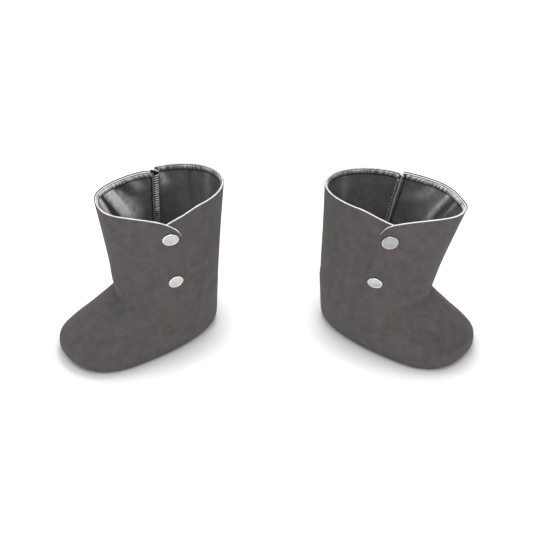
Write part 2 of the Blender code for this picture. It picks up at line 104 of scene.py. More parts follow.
# The flap thins out to its edge, and the underlap lies close below that edge
FLAP_EDGE = 0.33 * MM
FLAP_THINS_OVER = 6.0 * MM
UNDERLAP_AT_EDGE = 0.40 * MM
UNDERLAP_SINKS = (0.3 * MM, 6.5 * MM)
UNDERLAP_RISES = (0.2 * MM, 4.0 * MM)
SEAM_GAP = 0.02 * MM
SEAM_ROLL = 0.5 * MM
CLOSURE_ROLL = 0.10 * MM
FLAP_ROLL = 0.14 * MM
LEVEL_TOP = 84 * MM
LOW_ROWS = 30
MIDDLE_ROWS = 30
TOP_ROWS = 20
# Powers that bring the rows closer together toward the floor and toward the rim
LOW_SPACING = 1.25
TOP_SPACING = 1.3
BODY_COLUMNS = 170
BACK_BODY_COLUMNS = 120
UNDERLAP_COLUMNS = 44
# How far past the flap's edge the underlap's close columns reach on, in degrees
UNDERLAP_SPARE = 2.0
# Distances of the closest grid columns from a panel's edge, in millimetres
EDGE_STEPS = (0.0, 0.05, 0.15, 0.3, 0.5, 0.8, 1.2, 1.7, 2.3, 3.0, 3.9, 5.0, 6.2)

# Rim: the cloth's skin rises over the wall's top edge beside the edging, and turns in to the groove
# that the edging lies in. The profile holds shares of the rise and of the skin's thickness.
LIP_PROFILE = ((0.5, 0.0), (0.92, 0.0), (1.0, 0.0144), (1.0, 0.5336), (0.93, 1.0))
GROOVE_FLOOR = 0.30 * MM
LINING_TURN = 0.3 * MM
CLOTH_RISE = 1.15 * MM
LIP_RISE = 0.8 * MM
LIP_ANGLES = (168.0, 188.0)
SKIN = 0.38 * MM
EDGING_RADIUS = 0.56 * MM
EDGING_IN = 0.92 * MM
EDGING_RISE = 1.05 * MM
EDGING_SIDES = 12
EDGING_WAVES = ((0.06, 3.1, 0.0), (0.05, 1.37, 1.0))
FAR_SIDE_THINNING = 0.26
# Toward the flap's edge the edging comes out to the cut edge of the thinning cloth
CORNER_RUN = (1.0 * MM, 8.5 * MM)
CORNER_CLIMB = 0.5
CORNER_RADIUS = 0.40 * MM
CORNER_IN = 0.22 * MM
CORNER_LIFT = 0.80 * MM
FADE_RUN = (0.5 * MM, 4.2 * MM)
FADED_RADIUS = 0.14 * MM
FADED_LIFT = 0.10 * MM

# Painted light and shade of the outer cloth: painted light over the instep, painted shade at the toe
DARKEST_PAINTED_SHADE = -0.15
INSTEP_PAINTED_LIGHT = 0.26
INSTEP_HEIGHT = 35 * MM
INSTEP_SPREAD = 15 * MM
TOE_PAINTED_SHADE = {"left": 0.03, "right": 0.09}
TOE_HEIGHTS = (40 * MM, 18 * MM)

# Hem: how far its top and bottom lie over the wall's top edge, and how far it stands in
HEM_TOP = 0.35 * MM
HEM_BOTTOM = -3.2 * MM
HEM_BASE = 0.45 * MM
HEM_CLEAR = 0.06 * MM
# Its outer face lies this deep in the panel
HEM_SUNK = 0.10 * MM
HEM_STEP = 0.35 * MM
HEM_ROWS = 12
PUCKER_PITCH = 3.6 * MM
PUCKER_DEPTH = 0.95 * MM
# The lining below the hem still ripples with it, and its folds start a little lower
RIPPLE_SHARE = 0.45
RIPPLE_FADES = 2.6 * MM
FOLDS_START = 1.2 * MM
FOLDS_FROM_EDGE = (1.0 * MM, 4.0 * MM)
# How far the hem's ends keep from the side seam, and in degrees from both ends of the overlap
HEM_FROM_SEAM = 2.6 * MM
HEM_FROM_EDGE = 0.4
HEM_FROM_OVERLAP = 2.0
# The hem's painted light is strongest round this angle as far as the first reach, and plain from the
# second. The tones say how much painted light it has and how much painted shade its troughs have,
# plain and strongest.
HEM_PAINTED_LIGHT_ANGLE = 152.0
HEM_PAINTED_LIGHT_REACH = (22.0, 82.0)
HEM_PAINTED_TONES = (0.17, 0.69)
TROUGH_PAINTED_SHADE = (0.60, 1.02)

# Threads: radii, the share of the radius left at a thread's ends, sides, and the hem's stitches
HEM_THREAD = 0.36 * MM
OVERLOCK_THREAD = 0.31 * MM
SOLE_THREAD = 0.24 * MM
THREAD_TIP = 0.45
THREAD_SIDES = 6
HEM_STITCH = 2.6 * MM
HEM_STITCH_PITCH = 2.8 * MM
# How far the hem's stitches lie below it, stand in at their ends and bow in between
STITCHES_BELOW = 0.15 * MM
STITCH_STAND = 0.28 * MM
STITCH_BOW = 0.14 * MM

# Camera and light
CAMERA_TARGET = Vector((-0.0003, 0.0063, 0.058))
CAMERA_ELEVATION = 33.0
CAMERA_DISTANCE = 1.2
CAMERA_LENS = 110.2
SENSOR = 36.0
SKY = 0.59
TOP_POWER = 3.6
FILL_POWER = 11.5
FLOOR_REACH = 6.0
FLOOR_GLOW = 0.52
SHADOW_REACH = 38 * MM
SHADOW_POWER = 3.0


def ramp(value, start, end):
    """Rises smoothly from 0 at start to 1 at end."""
    t = np.clip((value - start) / (end - start), 0.0, 1.0)
    return t * t * (3 - 2 * t)


def bell(value):
    """Returns 1 at 0, falling away smoothly on both sides."""
    return np.exp(-np.square(value))


def between(first, last, share):
    """Returns the value at a share of the way from first to last."""
    return first + (last - first) * share


def waves(distance, *each):
    """Returns the sum of waves, each with its height, its length in millimetres and its start."""
    return sum(height * np.sin(distance / (length * MM) + start) for height, length, start in each)


def short_turn(angle, middle):
    """Returns the turn in degrees from a middle to each angle, the short way round."""
    return (angle - middle + 180) % 360 - 180


def unit(vectors):
    """Returns vectors with their lengths made 1."""
    return vectors / np.linalg.norm(vectors, axis=-1, keepdims=True)


def moved(points, direction, distance):
    """Returns points moved along a direction, each by its own distance."""
    return points + direction * np.asarray(distance)[..., None]


def run_along(path):
    """Returns each point's distance from the start of a path, along it."""
    return np.append(0.0, np.cumsum(np.linalg.norm(np.diff(path, axis=0), axis=1)))

def through_rows(heights, values, height):
    """Reads a smooth curve through the table's values that never overshoots them."""
    step = np.diff(heights)
    slope = np.diff(values) / step
    tangent = np.concatenate((slope[:1], slope[1:] * 0, slope[-1:]))
    for row in range(1, len(slope)):
        if slope[row - 1] * slope[row] > 0:
            before = 2 * step[row] + step[row - 1]
            after = step[row] + 2 * step[row - 1]
            tangent[row] = (before + after) / (before / slope[row - 1] + after / slope[row])
    row = np.clip(np.searchsorted(heights, height, side="right") - 1, 0, len(step) - 1)
    t = (height - heights[row]) / step[row]
    return (
        (2 * t**3 - 3 * t**2 + 1) * values[row]
        + (t**3 - 2 * t**2 + t) * step[row] * tangent[row]
        + (3 * t**2 - 2 * t**3) * values[row + 1]
        + (t**3 - t**2) * step[row] * tangent[row + 1]
    )


def section_at(cover, height):
    """Returns the outline's sizes at each height, in metres, with this cover's own stance."""
    heights = np.array([row.height for row in SECTIONS]) * MM
    size = {}
    for column in Section._fields[1:]:
        values = np.array([getattr(row, column) for row in SECTIONS])
        if not column.endswith("power"):
            values = values * MM
        size[column] = through_rows(heights, values, height)
        if column == "front":
            # the front is creased at the ankle, so each side of the crease is read by itself
            crease = int(np.argmin(abs(heights - CREASE_HEIGHT)))
            below = through_rows(heights[: crease + 1], values[: crease + 1],
                                 np.minimum(height, CREASE_HEIGHT))
            above = through_rows(heights[crease:], values[crease:],
                                 np.maximum(height, CREASE_HEIGHT))
            size[column] = np.where(height <= CREASE_HEIGHT, below, above)
    up = np.clip((height - CREASE_HEIGHT) / (RIM_HEIGHT - CREASE_HEIGHT), 0.0, LEG_REACH)
    instep = np.clip((height - INSTEP_START) / (CREASE_HEIGHT - INSTEP_START), 0.0, 1.0)
    broader = 1 + (cover.width - 1) * up
    size["heel"] += (cover.lean - cover.stretch) * up
    size["front"] += ((cover.lean + cover.stretch) * up + cover.ankle * instep
                      + cover.toe * (1 - instep))
    size["widest"] += cover.lean * up + cover.ankle * instep / 2
    size["medial"] = size["medial"] * broader + cover.ball * (1 - instep)
    size["lateral"] *= broader
    size["lateral_power"] += cover.blunt * up
    return size


def surface(cover, angle, height):
    """Returns points on the outer face of the cloth, for angles in degrees and heights."""
    angle, height = np.broadcast_arrays(np.asarray(angle, float), np.asarray(height, float))
    size = section_at(cover, height)
    turn = np.radians(angle)
    along = np.cos(turn)
    across = np.sin(turn)
    toe_power = np.where(across > 0, size["lateral_power"], size["medial_power"])
    power = np.where(along > 0, BACK_POWER, toe_power)
    along_part = np.abs(along) ** (2 / power)
    across_part = np.abs(across) ** (2 / power)
    x = between(size["widest"], np.where(along > 0, size["heel"], size["front"]), along_part)
    half_width = np.where(across > 0, size["lateral"], size["medial"])
    y = -np.sign(across) * half_width * across_part
    corner = np.where((along < 0) & (across < 0), np.sin(2 * turn) ** 2, 0.0) * size["flat"]
    x = x + corner * along * FLAT_ALONG
    y = y - corner * FLAT_ACROSS
    up = np.clip((height - TWIST_START) / (RIM_HEIGHT - TWIST_START), 0.0, LEG_REACH)
    foot_turn = math.radians(cover.yaw)
    leg_turn = foot_turn + np.radians(cover.twist) * up
    from_centre = x - TURN_CENTRE
    world_x = (-math.cos(foot_turn) * TURN_CENTRE - np.cos(leg_turn) * from_centre
               + np.sin(leg_turn) * y)
    world_y = (-math.sin(foot_turn) * TURN_CENTRE - np.sin(leg_turn) * from_centre
               - np.cos(leg_turn) * y)
    return np.stack(
        (cover.mirror * world_x + cover.place[0], world_y + cover.place[1], height), axis=-1
    )


def outward(cover, angle, height):
    """Returns the cloth's unit normals, pointing out of the leg."""
    angle, height = np.broadcast_arrays(np.asarray(angle, float), np.asarray(height, float))
    turn = 0.5
    rise = 0.25 * MM
    round_leg = surface(cover, angle + turn, height) - surface(cover, angle - turn, height)
    up_leg = surface(cover, angle, height + rise) - surface(cover, angle, height - rise)
    return unit(np.cross(round_leg, up_leg) * cover.mirror)


def foot_share(height):
    """Returns 1 on the floor and 0 from the crease up, for the seams' run down the foot."""
    return 1 - np.clip(np.asarray(height, float) / CREASE_HEIGHT, 0.0, 1.0) ** 2


def side_seam_angle(cover, height):
    """Returns the angle of the side seam, which may lean from the floor to the rim."""
    low, high = cover.seam
    return (low + (high - low) * np.asarray(height, float) / RIM_HEIGHT
            - SIDE_SEAM_SWING * foot_share(height))


def flap_seam_angle(cover, height):
    """Returns the angle of the flap's edge, and of the seam that runs on below it."""
    return cover.flap + FLAP_SEAM_SWING * foot_share(height)


def wall_top(cover, angle, underlap):
    """Returns the height of a panel's top edge, below the edging that lies on it."""
    angle = np.asarray(angle, float)
    turn = np.radians(angle)
    rim = cover.top + cover.tilt * np.cos(turn) + cover.rise * np.sin(turn)
    level = rim - EDGE_ALLOWANCE
    distance = (cover.flap - angle) * DEGREE
    if underlap:
        run = np.maximum(distance - UNDERLAP_DIP_START, 0.0)
        return level - UNDERLAP_DIP * run**2 / (run + UNDERLAP_DIP_REACH)
    run = np.hypot(np.maximum(distance, 0.0), DIP_LEVELS)
    dip = cover.dip * np.exp(-run / FLAP_DIP_REACH)
    sag = cover.sag * bell((angle - SAG_ANGLE) / SAG_REACH)
    corner = rolled(distance, CORNER_REACH) * CORNER_DROP / CORNER_REACH
    return level - dip - sag - corner


# How far one panel's rim drops beside the side seam, and over what length
SEAM_DROPS = {
    ("left", "front"): (4.7 * MM, 5.5 * MM),
    ("right", "back"): (1.6 * MM, 6.5 * MM),
}
# A small dip of the right rim near the toe: its angle, half width in degrees and depth
TOE_DIP = {"right": (148.0, 22.0, 2.7 * MM)}


def rim_top(cover, angle, which):
    """Returns a panel's top edge as the finished cloth has it, with its small dips."""
    is_back = which == "back"
    angle = np.asarray(angle, float)
    top = wall_top(cover, angle, is_back)
    if (cover.name, which) in SEAM_DROPS:
        drop, reach = SEAM_DROPS[cover.name, which]
        seam = side_seam_angle(cover, RIM_HEIGHT) + 360 * is_back
        top = top - drop * np.exp(-np.abs(angle - seam) * DEGREE / reach)
    if cover.name in TOE_DIP:
        middle, half_width, depth = TOE_DIP[cover.name]
        top = top - depth * bell((angle - middle) / half_width)
    return top


def panel_depth(cover, which, angle, height):
    """Returns how far a panel lies inside the leg's outline, as the back one does at the flap."""
    past_edge = (angle - cover.flap) * DEGREE
    hidden = between(UNDERLAP_AT_EDGE, UNDERLAP_DEPTH, ramp(-past_edge, *UNDERLAP_SINKS))
    shown = UNDERLAP_AT_EDGE * (1 - ramp(past_edge, *UNDERLAP_RISES))
    depth = np.where(past_edge < 0, hidden, shown) * ramp(height, *DIVE_HEIGHTS)
    return depth * (which == "back")


# The way each snap faces, in degrees: its turn from the front toward the right, and how far down
SNAP_FACING = {
    ("left", "top"): (11.0, 19.0),
    ("left", "low"): (25.0, 15.0),
    ("right", "top"): (2.0, 10.5),
    ("right", "low"): (-18.0, 20.5),
}
CAP_SIZES = {"top": 1.0, "low": 0.93}
# Lighter and darker copies of one nickel for each cap's face and ring: painted light and shade on
# the caps, a painted highlight on the rings
CAP_METALS = {
    ("left", "top"): ("metal", "highlight_metal"),
    ("left", "low"): ("metal", "highlight_metal"),
    ("right", "top"): ("shaded_metal", "metal"),
    ("right", "low"): ("lit_metal", "highlight_metal"),
}
# The cloth within the seat follows a snap's facing, and less so as it fades, up to the reach
SNAP_SEAT = 5.0 * MM
SNAP_SEAT_FADES = 4.5 * MM
SNAP_REACH = 30 * MM
CLOTH_FOLLOWS = 0.7
# The dent round each snap: its depth, where it starts to fade and over what length
SNAP_DENT = (0.25 * MM, 5.5 * MM, 2.6 * MM)

# Creases of each cover's outer cloth: the angle and the height of the middle, half the length, half
# the width, the climb over the length and the relief, all in millimetres but the angle. A negative
# relief is a trough.
CREASES = {
    "left": (
        (206, 44, 14, 3.4, -2, -0.35),
        (150, 43.5, 20, 3.6, 3, -0.75),
        (146, 52, 16, 4.5, 4, 0.45),
        (122, 39, 17, 3, -2, -0.55),
        (20, 34, 20, 4.5, 3, -0.60),
        (352, 47, 17, 4, -3, -0.45),
        (48, 72, 22, 6, 12, -0.50),
    ),
    "right": (
        (233, 60.2, 12.5, 0.7, 0.4, -0.40),
        (226, 57, 15, 3.2, 1, 0.22),
        (204, 45, 12, 3, 2, -0.32),
        (152, 44.5, 18, 3.2, 2, -0.70),
        (138, 54, 19, 5, 5, 0.40),
        (118, 38, 15, 3.4, -3, -0.60),
        (12, 36, 22, 4.2, -2, -0.62),
        (346, 50, 15, 3.6, 3, -0.40),
        (40, 76, 19, 6.5, 10, -0.45),
    ),
}

# Folds of each cover's loose lining: angle and height of the top and of the bottom, half the
# width, how far the fold stands in, and its painted tone, from about -1 for painted shade in a
# trough to about 1 for a painted pale sheen on its satin face
FOLDS = {
    "left": (
        (126.5, 119, 102.5, 82, 4, 0.70, 1.20),
        (119.5, 117, 100, 84, 1.5, 0.55, 0.45),
        (134, 119, 128, 104, 2.6, 0.20, 0.50),
        (137, 114, 113, 86, 2, -0.70, -1.05),
        (146, 119, 129.5, 92, 3.6, 0.60, 1.15),
        (109.5, 116, 97, 102, 2.8, -0.45, -0.55),
        (108, 110, 94, 80, 6.2, 0.25, 0.40),
        (95.5, 116.5, 90, 104, 3, 0.30, 0.22),
        (71.5, 115, 67.5, 104, 3, 0.35, 0.34),
        (43.5, 118, 39, 92, 1.5, -0.50, -0.46),
        (20, 116, 14, 80, 4.2, 0.55, 0.10),
        (74, 98, 70, 62, 9, 0.10, -0.42),
        (205, 112, 212, 78, 4, 0.60, 0.30),
        (300, 104, 306, 70, 4.5, 0.50, 0.20),
    ),
    "right": (
        (127.5, 116, 110.5, 82, 2.2, 0.80, 0.44),
        (121, 113, 105, 82, 7, 0.20, 0.10),
        (137, 113, 118.6, 88, 2.8, -0.60, -0.25),
        (144, 118, 126.5, 92, 2, 0.55, 0.27),
        (107.5, 113, 96, 98, 5.5, 0.40, 0.20),
        (62, 112, 60, 90, 3, -0.35, -0.18),
        (30, 116, 26, 84, 4, 0.50, 0.08),
        (200, 112, 210, 76, 3.8, 0.60, 0.28),
        (304, 106, 310, 72, 4.4, 0.50, 0.18),
    ),
}
# How far a fold sways in degrees, how much it widens to its bottom, and where along it, as shares,
# it comes up and dies out
FOLD_SWAY = 0.8
FOLD_WIDENS = 0.35
FOLD_COMES = (-0.12, 0.10)
FOLD_GOES = (0.55, 1.25)


def snap_angle(cover):
    """Returns the angle at which both snaps stand."""
    return cover.flap - SNAP_FROM_EDGE / DEGREE


def snap_place(cover, name):
    """Returns a snap's middle on the cloth, the cloth's normal there and the way the snap faces."""
    where = (cover, snap_angle(cover), SNAP_HEIGHTS[name])
    turn, dip = np.radians(SNAP_FACING[cover.name, name])
    level = math.cos(dip)
    facing = np.array((math.sin(turn) * level, -math.cos(turn) * level, -math.sin(dip)))
    return surface(*where), outward(*where), facing


def snap_relief(cover, points, normals):
    """Returns how far the cloth is drawn out or in by the snaps that it is held by."""
    relief = np.zeros(points.shape[:-1])
    for name in SNAP_HEIGHTS:
        place, _, facing = snap_place(cover, name)
        away = points - place
        reach = np.linalg.norm(away, axis=-1)
        across = (away @ facing) / np.maximum(normals @ facing, 0.5)
        weight = bell(np.maximum(reach - SNAP_SEAT, 0.0) / SNAP_SEAT_FADES)
        relief -= across * weight * CLOTH_FOLLOWS * (reach < SNAP_REACH)
    return relief


def crease_relief(cover, angle, height):
    """Returns how far the outer cloth stands out of its plain form."""
    relief = np.zeros(np.shape(angle))
    for middle, level, length, width, climb, depth in CREASES[cover.name]:
        along = short_turn(angle, middle) * DEGREE / (length * MM)
        across = height - (level + climb * (along - 0.5 * along**2)) * MM
        fade = np.clip(1 - along**2, 0.0, 1.0) ** 1.5
        relief += depth * MM * fade * bell(across / (width * MM))
    depth, fades_from, fades_over = SNAP_DENT
    for snap_height in SNAP_HEIGHTS.values():
        reach = np.hypot((angle - snap_angle(cover)) * DEGREE, height - snap_height)
        relief -= depth * bell(np.maximum(reach - fades_from, 0.0) / fades_over)
    return relief


def fold_values(cover, angle, height):
    """Returns how far the lining's folds stand in, and their painted sheen and painted shade."""
    relief = np.zeros(np.shape(angle))
    light = np.zeros(np.shape(angle))
    for top_angle, top, foot_angle, bottom, width, depth, tone in FOLDS[cover.name]:
        share = (top * MM - height) / ((top - bottom) * MM)
        middle = between(top_angle, foot_angle, share) + FOLD_SWAY * np.sin(share * 4 + top_angle)
        half_width = width * MM * (1 + FOLD_WIDENS * share)
        bump = bell(short_turn(angle, middle) * DEGREE / half_width)
        bump = bump * ramp(share, *FOLD_COMES) * (1 - ramp(share, *FOLD_GOES))
        relief += depth * MM * bump
        # painted sheen on raised folds, painted shade in troughs
        light += tone * bump
    return relief, light


# The gathers' troughs wander along the hem, slant by a changing amount and change in depth. At
# the hem's top they keep a share of their depth, and the gathers a share of their own.
TROUGH_POWER = 2.5
TROUGHS_TOP = 0.35
GATHERS_LEAST = 0.12
GATHERS_START = 0.20
TROUGHS_WANDER = ((0.40, 5.9, 0.0), (0.27, 2.3, 1.3))
TROUGHS_SLANT = (0.30, (0.25, 9.0, 0.0))
TROUGHS_DEPTH = (0.68, (0.32, 4.3, 0.6))


def slash(distance, share):
    """Returns how deep the gathers' narrow slanting troughs are, along the hem and down it."""
    phase = distance / PUCKER_PITCH + waves(distance, *TROUGHS_WANDER)
    slant, slant_wave = TROUGHS_SLANT
    phase = phase + (share - 0.5) * (slant + waves(distance, slant_wave))
    trough = (0.5 - 0.5 * np.cos(2 * math.pi * phase)) ** TROUGH_POWER
    depth, depth_wave = TROUGHS_DEPTH
    return trough * (depth + waves(distance, depth_wave)) * between(TROUGHS_TOP, 1.0, share)


def pucker(distance, share):
    """Returns the gathered hem's relief along it, from its top (0) to its stitches (1)."""
    envelope = np.sin(math.pi * between(GATHERS_START, 1.0, share))
    return PUCKER_DEPTH * (1 - slash(distance, share)) * between(GATHERS_LEAST, 1.0, envelope)


def painted_foot_tone(cover, angle, height):
    """Returns the outer cloth's painted light over the instep and its painted shade at the toe."""
    forward = np.clip(-np.cos(np.radians(angle)), 0.0, 1.0)
    paler = INSTEP_PAINTED_LIGHT * forward * bell((height - INSTEP_HEIGHT) / INSTEP_SPREAD)
    return paler - TOE_PAINTED_SHADE[cover.name] * forward**2 * ramp(height, *TOE_HEIGHTS)


def rolled(distance, radius):
    """Returns how far a rounded edge falls away, by distance from it."""
    inside = np.clip(1 - distance / radius, 0.0, 1.0)
    return radius * (1 - np.sqrt(1 - inside**2))


def row_heights(tops):
    """Returns the fine grid's heights: level rows below, then rows that follow the top edge."""
    low = CREASE_HEIGHT * np.linspace(0.0, 1.0, LOW_ROWS) ** LOW_SPACING
    middle = np.linspace(CREASE_HEIGHT, LEVEL_TOP, MIDDLE_ROWS)[1:]
    rows = [np.full(len(tops), height) for height in np.concatenate((low, middle))]
    for share in np.linspace(0.0, 1.0, TOP_ROWS + 1)[1:]:
        rows.append(between(LEVEL_TOP, tops, 1 - (1 - share) ** TOP_SPACING))
    return np.array(rows)


def from_corner(cover, angle, which):
    """Returns 0 at the flap's edge and 1 well away from it, along the front panel's rim."""
    if which == "back":
        return np.ones(len(angle))
    return ramp((cover.flap - angle) * DEGREE, *CORNER_RUN)


def lip(angle):
    """Returns how far the outer cloth rises past the edging, on the toe's seam side."""
    return LIP_RISE * (1 - ramp(angle, *LIP_ANGLES))


Panel = namedtuple("Panel", "name base outer inner light outer_light angle tops normal fade")


def spread(anchors, offsets, body):
    """Returns columns' angles from the first anchor to the last, closest beside both ends.

    Body holds the places of the columns between, where 1.5 is halfway from the second anchor to
    the third, and they keep the offsets from the anchors. The columns' distances from both ends
    are returned too.
    """
    steps = np.array(EDGE_STEPS) * MM / DEGREE
    numbers = np.arange(len(anchors))
    place = np.concatenate((steps * 0, body, steps * 0 + numbers[-1]))
    angle = np.concatenate((steps, np.interp(body, numbers, offsets), -steps[::-1]))
    for number, anchor in enumerate(anchors):
        angle = angle + anchor * np.clip(1 - np.abs(place - number), 0.0, 1.0)
    return angle, (angle - anchors[0]) * DEGREE, (anchors[-1] - angle) * DEGREE


def columns(cover, which, heights):
    """Returns a panel's angles and each column's distances from its two edges."""
    gap = SEAM_GAP / DEGREE
    edge = EDGE_STEPS[-1] * MM / DEGREE
    seam = side_seam_angle(cover, heights)
    closure = flap_seam_angle(cover, heights)
    if which == "front":
        body = np.linspace(0.0, 1.0, BODY_COLUMNS)[1:-1]
        return spread((seam + gap, closure - gap), (edge, -edge), body)
    start = closure + gap - OVERLAP_ANGLE * ramp(heights, *SLIT_HEIGHTS)
    past_flap = UNDERLAP_RISES[1] / DEGREE + UNDERLAP_SPARE
    body = np.concatenate((np.linspace(0.0, 1.0, UNDERLAP_COLUMNS)[1:],
                           np.linspace(1.0, 2.0, BACK_BODY_COLUMNS)[1:-1]))
    return spread((start, closure + gap, 360 + seam - gap), (edge, past_flap, -edge), body)


def edge_frame(cover, angle, height, normal):
    """Returns the points of a top edge, and the ways in the cloth that lead straight past it."""
    edge = surface(cover, angle, height)
    along = unit(np.gradient(edge, axis=0))
    return edge, unit(np.cross(normal, along) * cover.mirror)


def lay_out(cover, which):
    """Lays out the fine grids of one panel."""
    is_back = which == "back"
    top_angle = columns(cover, which, RIM_HEIGHT)[0]
    tops = rim_top(cover, top_angle, which)
    height = row_heights(tops)
    angle, from_first, from_last = columns(cover, which, height)
    base = surface(cover, angle, height)
    normal = outward(cover, angle, height)
    depth = panel_depth(cover, which, angle, height)
    flap_side, seam_side = (from_first, from_last) if is_back else (from_last, from_first)
    closure = rolled(flap_side, CLOSURE_ROLL)
    thickness = CLOTH
    fade = np.ones(len(tops))
    lip_rise = 0.0
    if not is_back:
        closure = closure + ramp(height, *SLIT_HEIGHTS) * rolled(flap_side, FLAP_ROLL)
        thinned = between(FLAP_EDGE, CLOTH, ramp(flap_side, 0.0, FLAP_THINS_OVER))
        thickness = between(CLOTH, thinned, ramp(height, *DIVE_HEIGHTS))
        fade = ramp((cover.flap - top_angle) * DEGREE, *FADE_RUN)
        lip_rise = lip(top_angle)
    relief = crease_relief(cover, angle, height) - closure - rolled(seam_side, SEAM_ROLL)
    # the lining's folds and their painted sheen and painted shade
    fold, light = fold_values(cover, angle, height)
    below_hem = np.maximum(rim_top(cover, angle, which) + HEM_BOTTOM - height, 0.0)
    arc = (angle - top_angle[0]) * DEGREE
    ripple = RIPPLE_SHARE * pucker(arc, 1.0) * np.exp(-below_hem / RIPPLE_FADES)
    loose = ramp(np.minimum(seam_side, flap_side), *FOLDS_FROM_EDGE)
    inward = (fold + ripple) * np.minimum(below_hem / FOLDS_START, 1.0) * loose
    seat = snap_relief(cover, base, normal)
    outer = moved(base, normal, relief + seat - depth)
    inner = moved(base, -normal, thickness + inward - seat + depth)
    # the rim: the skin of the cloth rises beside the edging, then turns in to the groove
    _, rise = edge_frame(cover, top_angle, tops, normal[-1])
    climb = CLOTH_RISE * between(CORNER_CLIMB, 1.0, from_corner(cover, top_angle, which))
    climb = (climb + lip_rise) * fade
    rim_rows = [moved(outer[-1], rise, climb * share) - normal[-1] * SKIN * skin
                for share, skin in LIP_PROFILE]
    rim_rows.append(moved(outer[-1], rise, GROOVE_FLOOR * fade) - normal[-1] * SKIN)
    turn_in = moved(inner[-1], rise, GROOVE_FLOOR * fade)
    inner_rows = [turn_in + normal[-1] * LINING_TURN * share
                  for share in np.linspace(0.0, 1.0, len(rim_rows) + 1)[1:]]
    light = np.concatenate((light, np.repeat(light[-1:], len(rim_rows), axis=0)))
    # the outer cloth carries painted light over the instep and painted shade at the toe
    outer_light = np.zeros(light.shape)
    outer_light[: len(height)] = painted_foot_tone(cover, angle, height)
    return Panel(which, base, np.concatenate((outer, rim_rows)),
                 np.concatenate((inner, inner_rows)), light, outer_light, top_angle, tops,
                 normal[-1], fade)


def link(name, mesh):
    """Adds a mesh to the scene as a named object."""
    item = bpy.data.objects.new(name, mesh)
    bpy.context.scene.collection.objects.link(item)
    return item


def mesh_from(name, points, faces, slots, materials, smooth_angle=45, light=None):
    """Makes an object from points and faces, with outward faces and a slot for each face."""
    points = np.asarray(points, float).reshape(-1, 3)
    volume = 0.0
    for first, second in ((1, 2), (2, 3)):
        corners = [(face[0], face[first], face[second]) for face in faces if len(face) > second]
        start, middle, end = points[np.array(corners).T]
        volume += (start * np.cross(middle, end)).sum()
    if volume < 0:
        faces = turned_over(faces)
    mesh = bpy.data.meshes.new(name)
    mesh.from_pydata(points.tolist(), [], faces)
    for material in materials:
        mesh.materials.append(material)
    mesh.polygons.foreach_set("material_index", list(slots))
    if light is not None:
        layer = mesh.attributes.new("light", "FLOAT", "POINT")
        layer.data.foreach_set("value", np.asarray(light, float).ravel())
    mesh.shade_smooth()
    mesh.set_sharp_from_angle(angle=math.radians(smooth_angle))
    mesh.update()
    return link(name, mesh)


def grid_faces(rows, columns, offset=0, closed=False):
    """Returns the quads of a grid of points, or of a tube whose rows are closed rings."""
    index = offset + np.arange(rows * columns).reshape(rows, columns)
    if closed:
        index = np.concatenate((index, index[:, :1]), axis=1)
    corners = (index[:-1, :-1], index[:-1, 1:], index[1:, 1:], index[1:, :-1])
    return [tuple(face) for face in np.stack(corners, axis=-1).reshape(-1, 4).tolist()]


def turned_over(faces):
    """Returns faces that look the other way."""
    return [tuple(reversed(face)) for face in faces]


def sheet(name, outer, inner, materials, slots=(0, 1, 0), light=None, smooth_angle=45,
          outer_light=None):
    """Makes the closed sheet between two grids: slots are for its outer, inner and edge faces."""
    rows, columns = outer.shape[:2]
    half = rows * columns
    outer_faces = grid_faces(rows, columns)
    inner_faces = turned_over(grid_faces(rows, columns, half))
    index = np.arange(half).reshape(rows, columns)
    rim = [*index[0], *index[1:, -1], *index[-1, -2::-1], *index[-2:0:-1, 0]]
    edge_faces = [(after, now, now + half, after + half)
                  for now, after in zip(rim, rim[1:] + rim[:1])]
    faces = outer_faces + inner_faces + edge_faces
    numbers = [slots[0]] * len(outer_faces) + [slots[1]] * len(inner_faces)
    numbers += [slots[2]] * len(edge_faces)
    points = np.concatenate((outer.reshape(-1, 3), inner.reshape(-1, 3)))
    if light is not None:
        shown = np.zeros(half) if outer_light is None else np.asarray(outer_light).ravel()
        light = np.concatenate((shown, np.asarray(light).ravel()))
    return mesh_from(name, points, faces, numbers, materials, smooth_angle, light)


def closed_tube(rows, sides, offset=0):
    """Returns the quads of a tube, then the faces at its two ends."""
    last = offset + (rows - 1) * sides
    ends = [tuple(reversed(range(offset, offset + sides))), tuple(range(last, last + sides))]
    return grid_faces(rows, sides, offset, True) + ends


def circle(sides, side, rise):
    """Returns points round a circle or ellipse that has two directions as its half sizes."""
    turns = (2 * math.pi * np.arange(sides) / sides)[:, None]
    return np.cos(turns) * side + np.sin(turns) * rise


def swept(paths, sides, name, materials):
    """Makes one mesh of closed tubes. Each path has points, two cross directions and two radii."""
    points = []
    faces = []
    for path, side, rise, side_radius, rise_radius in paths:
        faces += closed_tube(len(path), sides, len(points))
        for place, wide, high in zip(path, moved(0, side, side_radius), moved(0, rise, rise_radius)):
            points.extend(place + circle(sides, wide, high))
    return mesh_from(name, points, faces, [0] * len(faces), materials, 60)


def threads(name, strands, radius, materials):
    """Makes one mesh of thin round threads, each given by its points and the way it faces."""
    paths = []
    for points, facing in strands:
        along = unit(np.gradient(points, axis=0))
        side = unit(np.cross(facing, along))
        radii = np.full(len(points), radius)
        radii[[0, -1]] = radius * THREAD_TIP
        paths.append((points, side, np.cross(along, side), radii, radii))
    return swept(paths, THREAD_SIDES, name, materials)


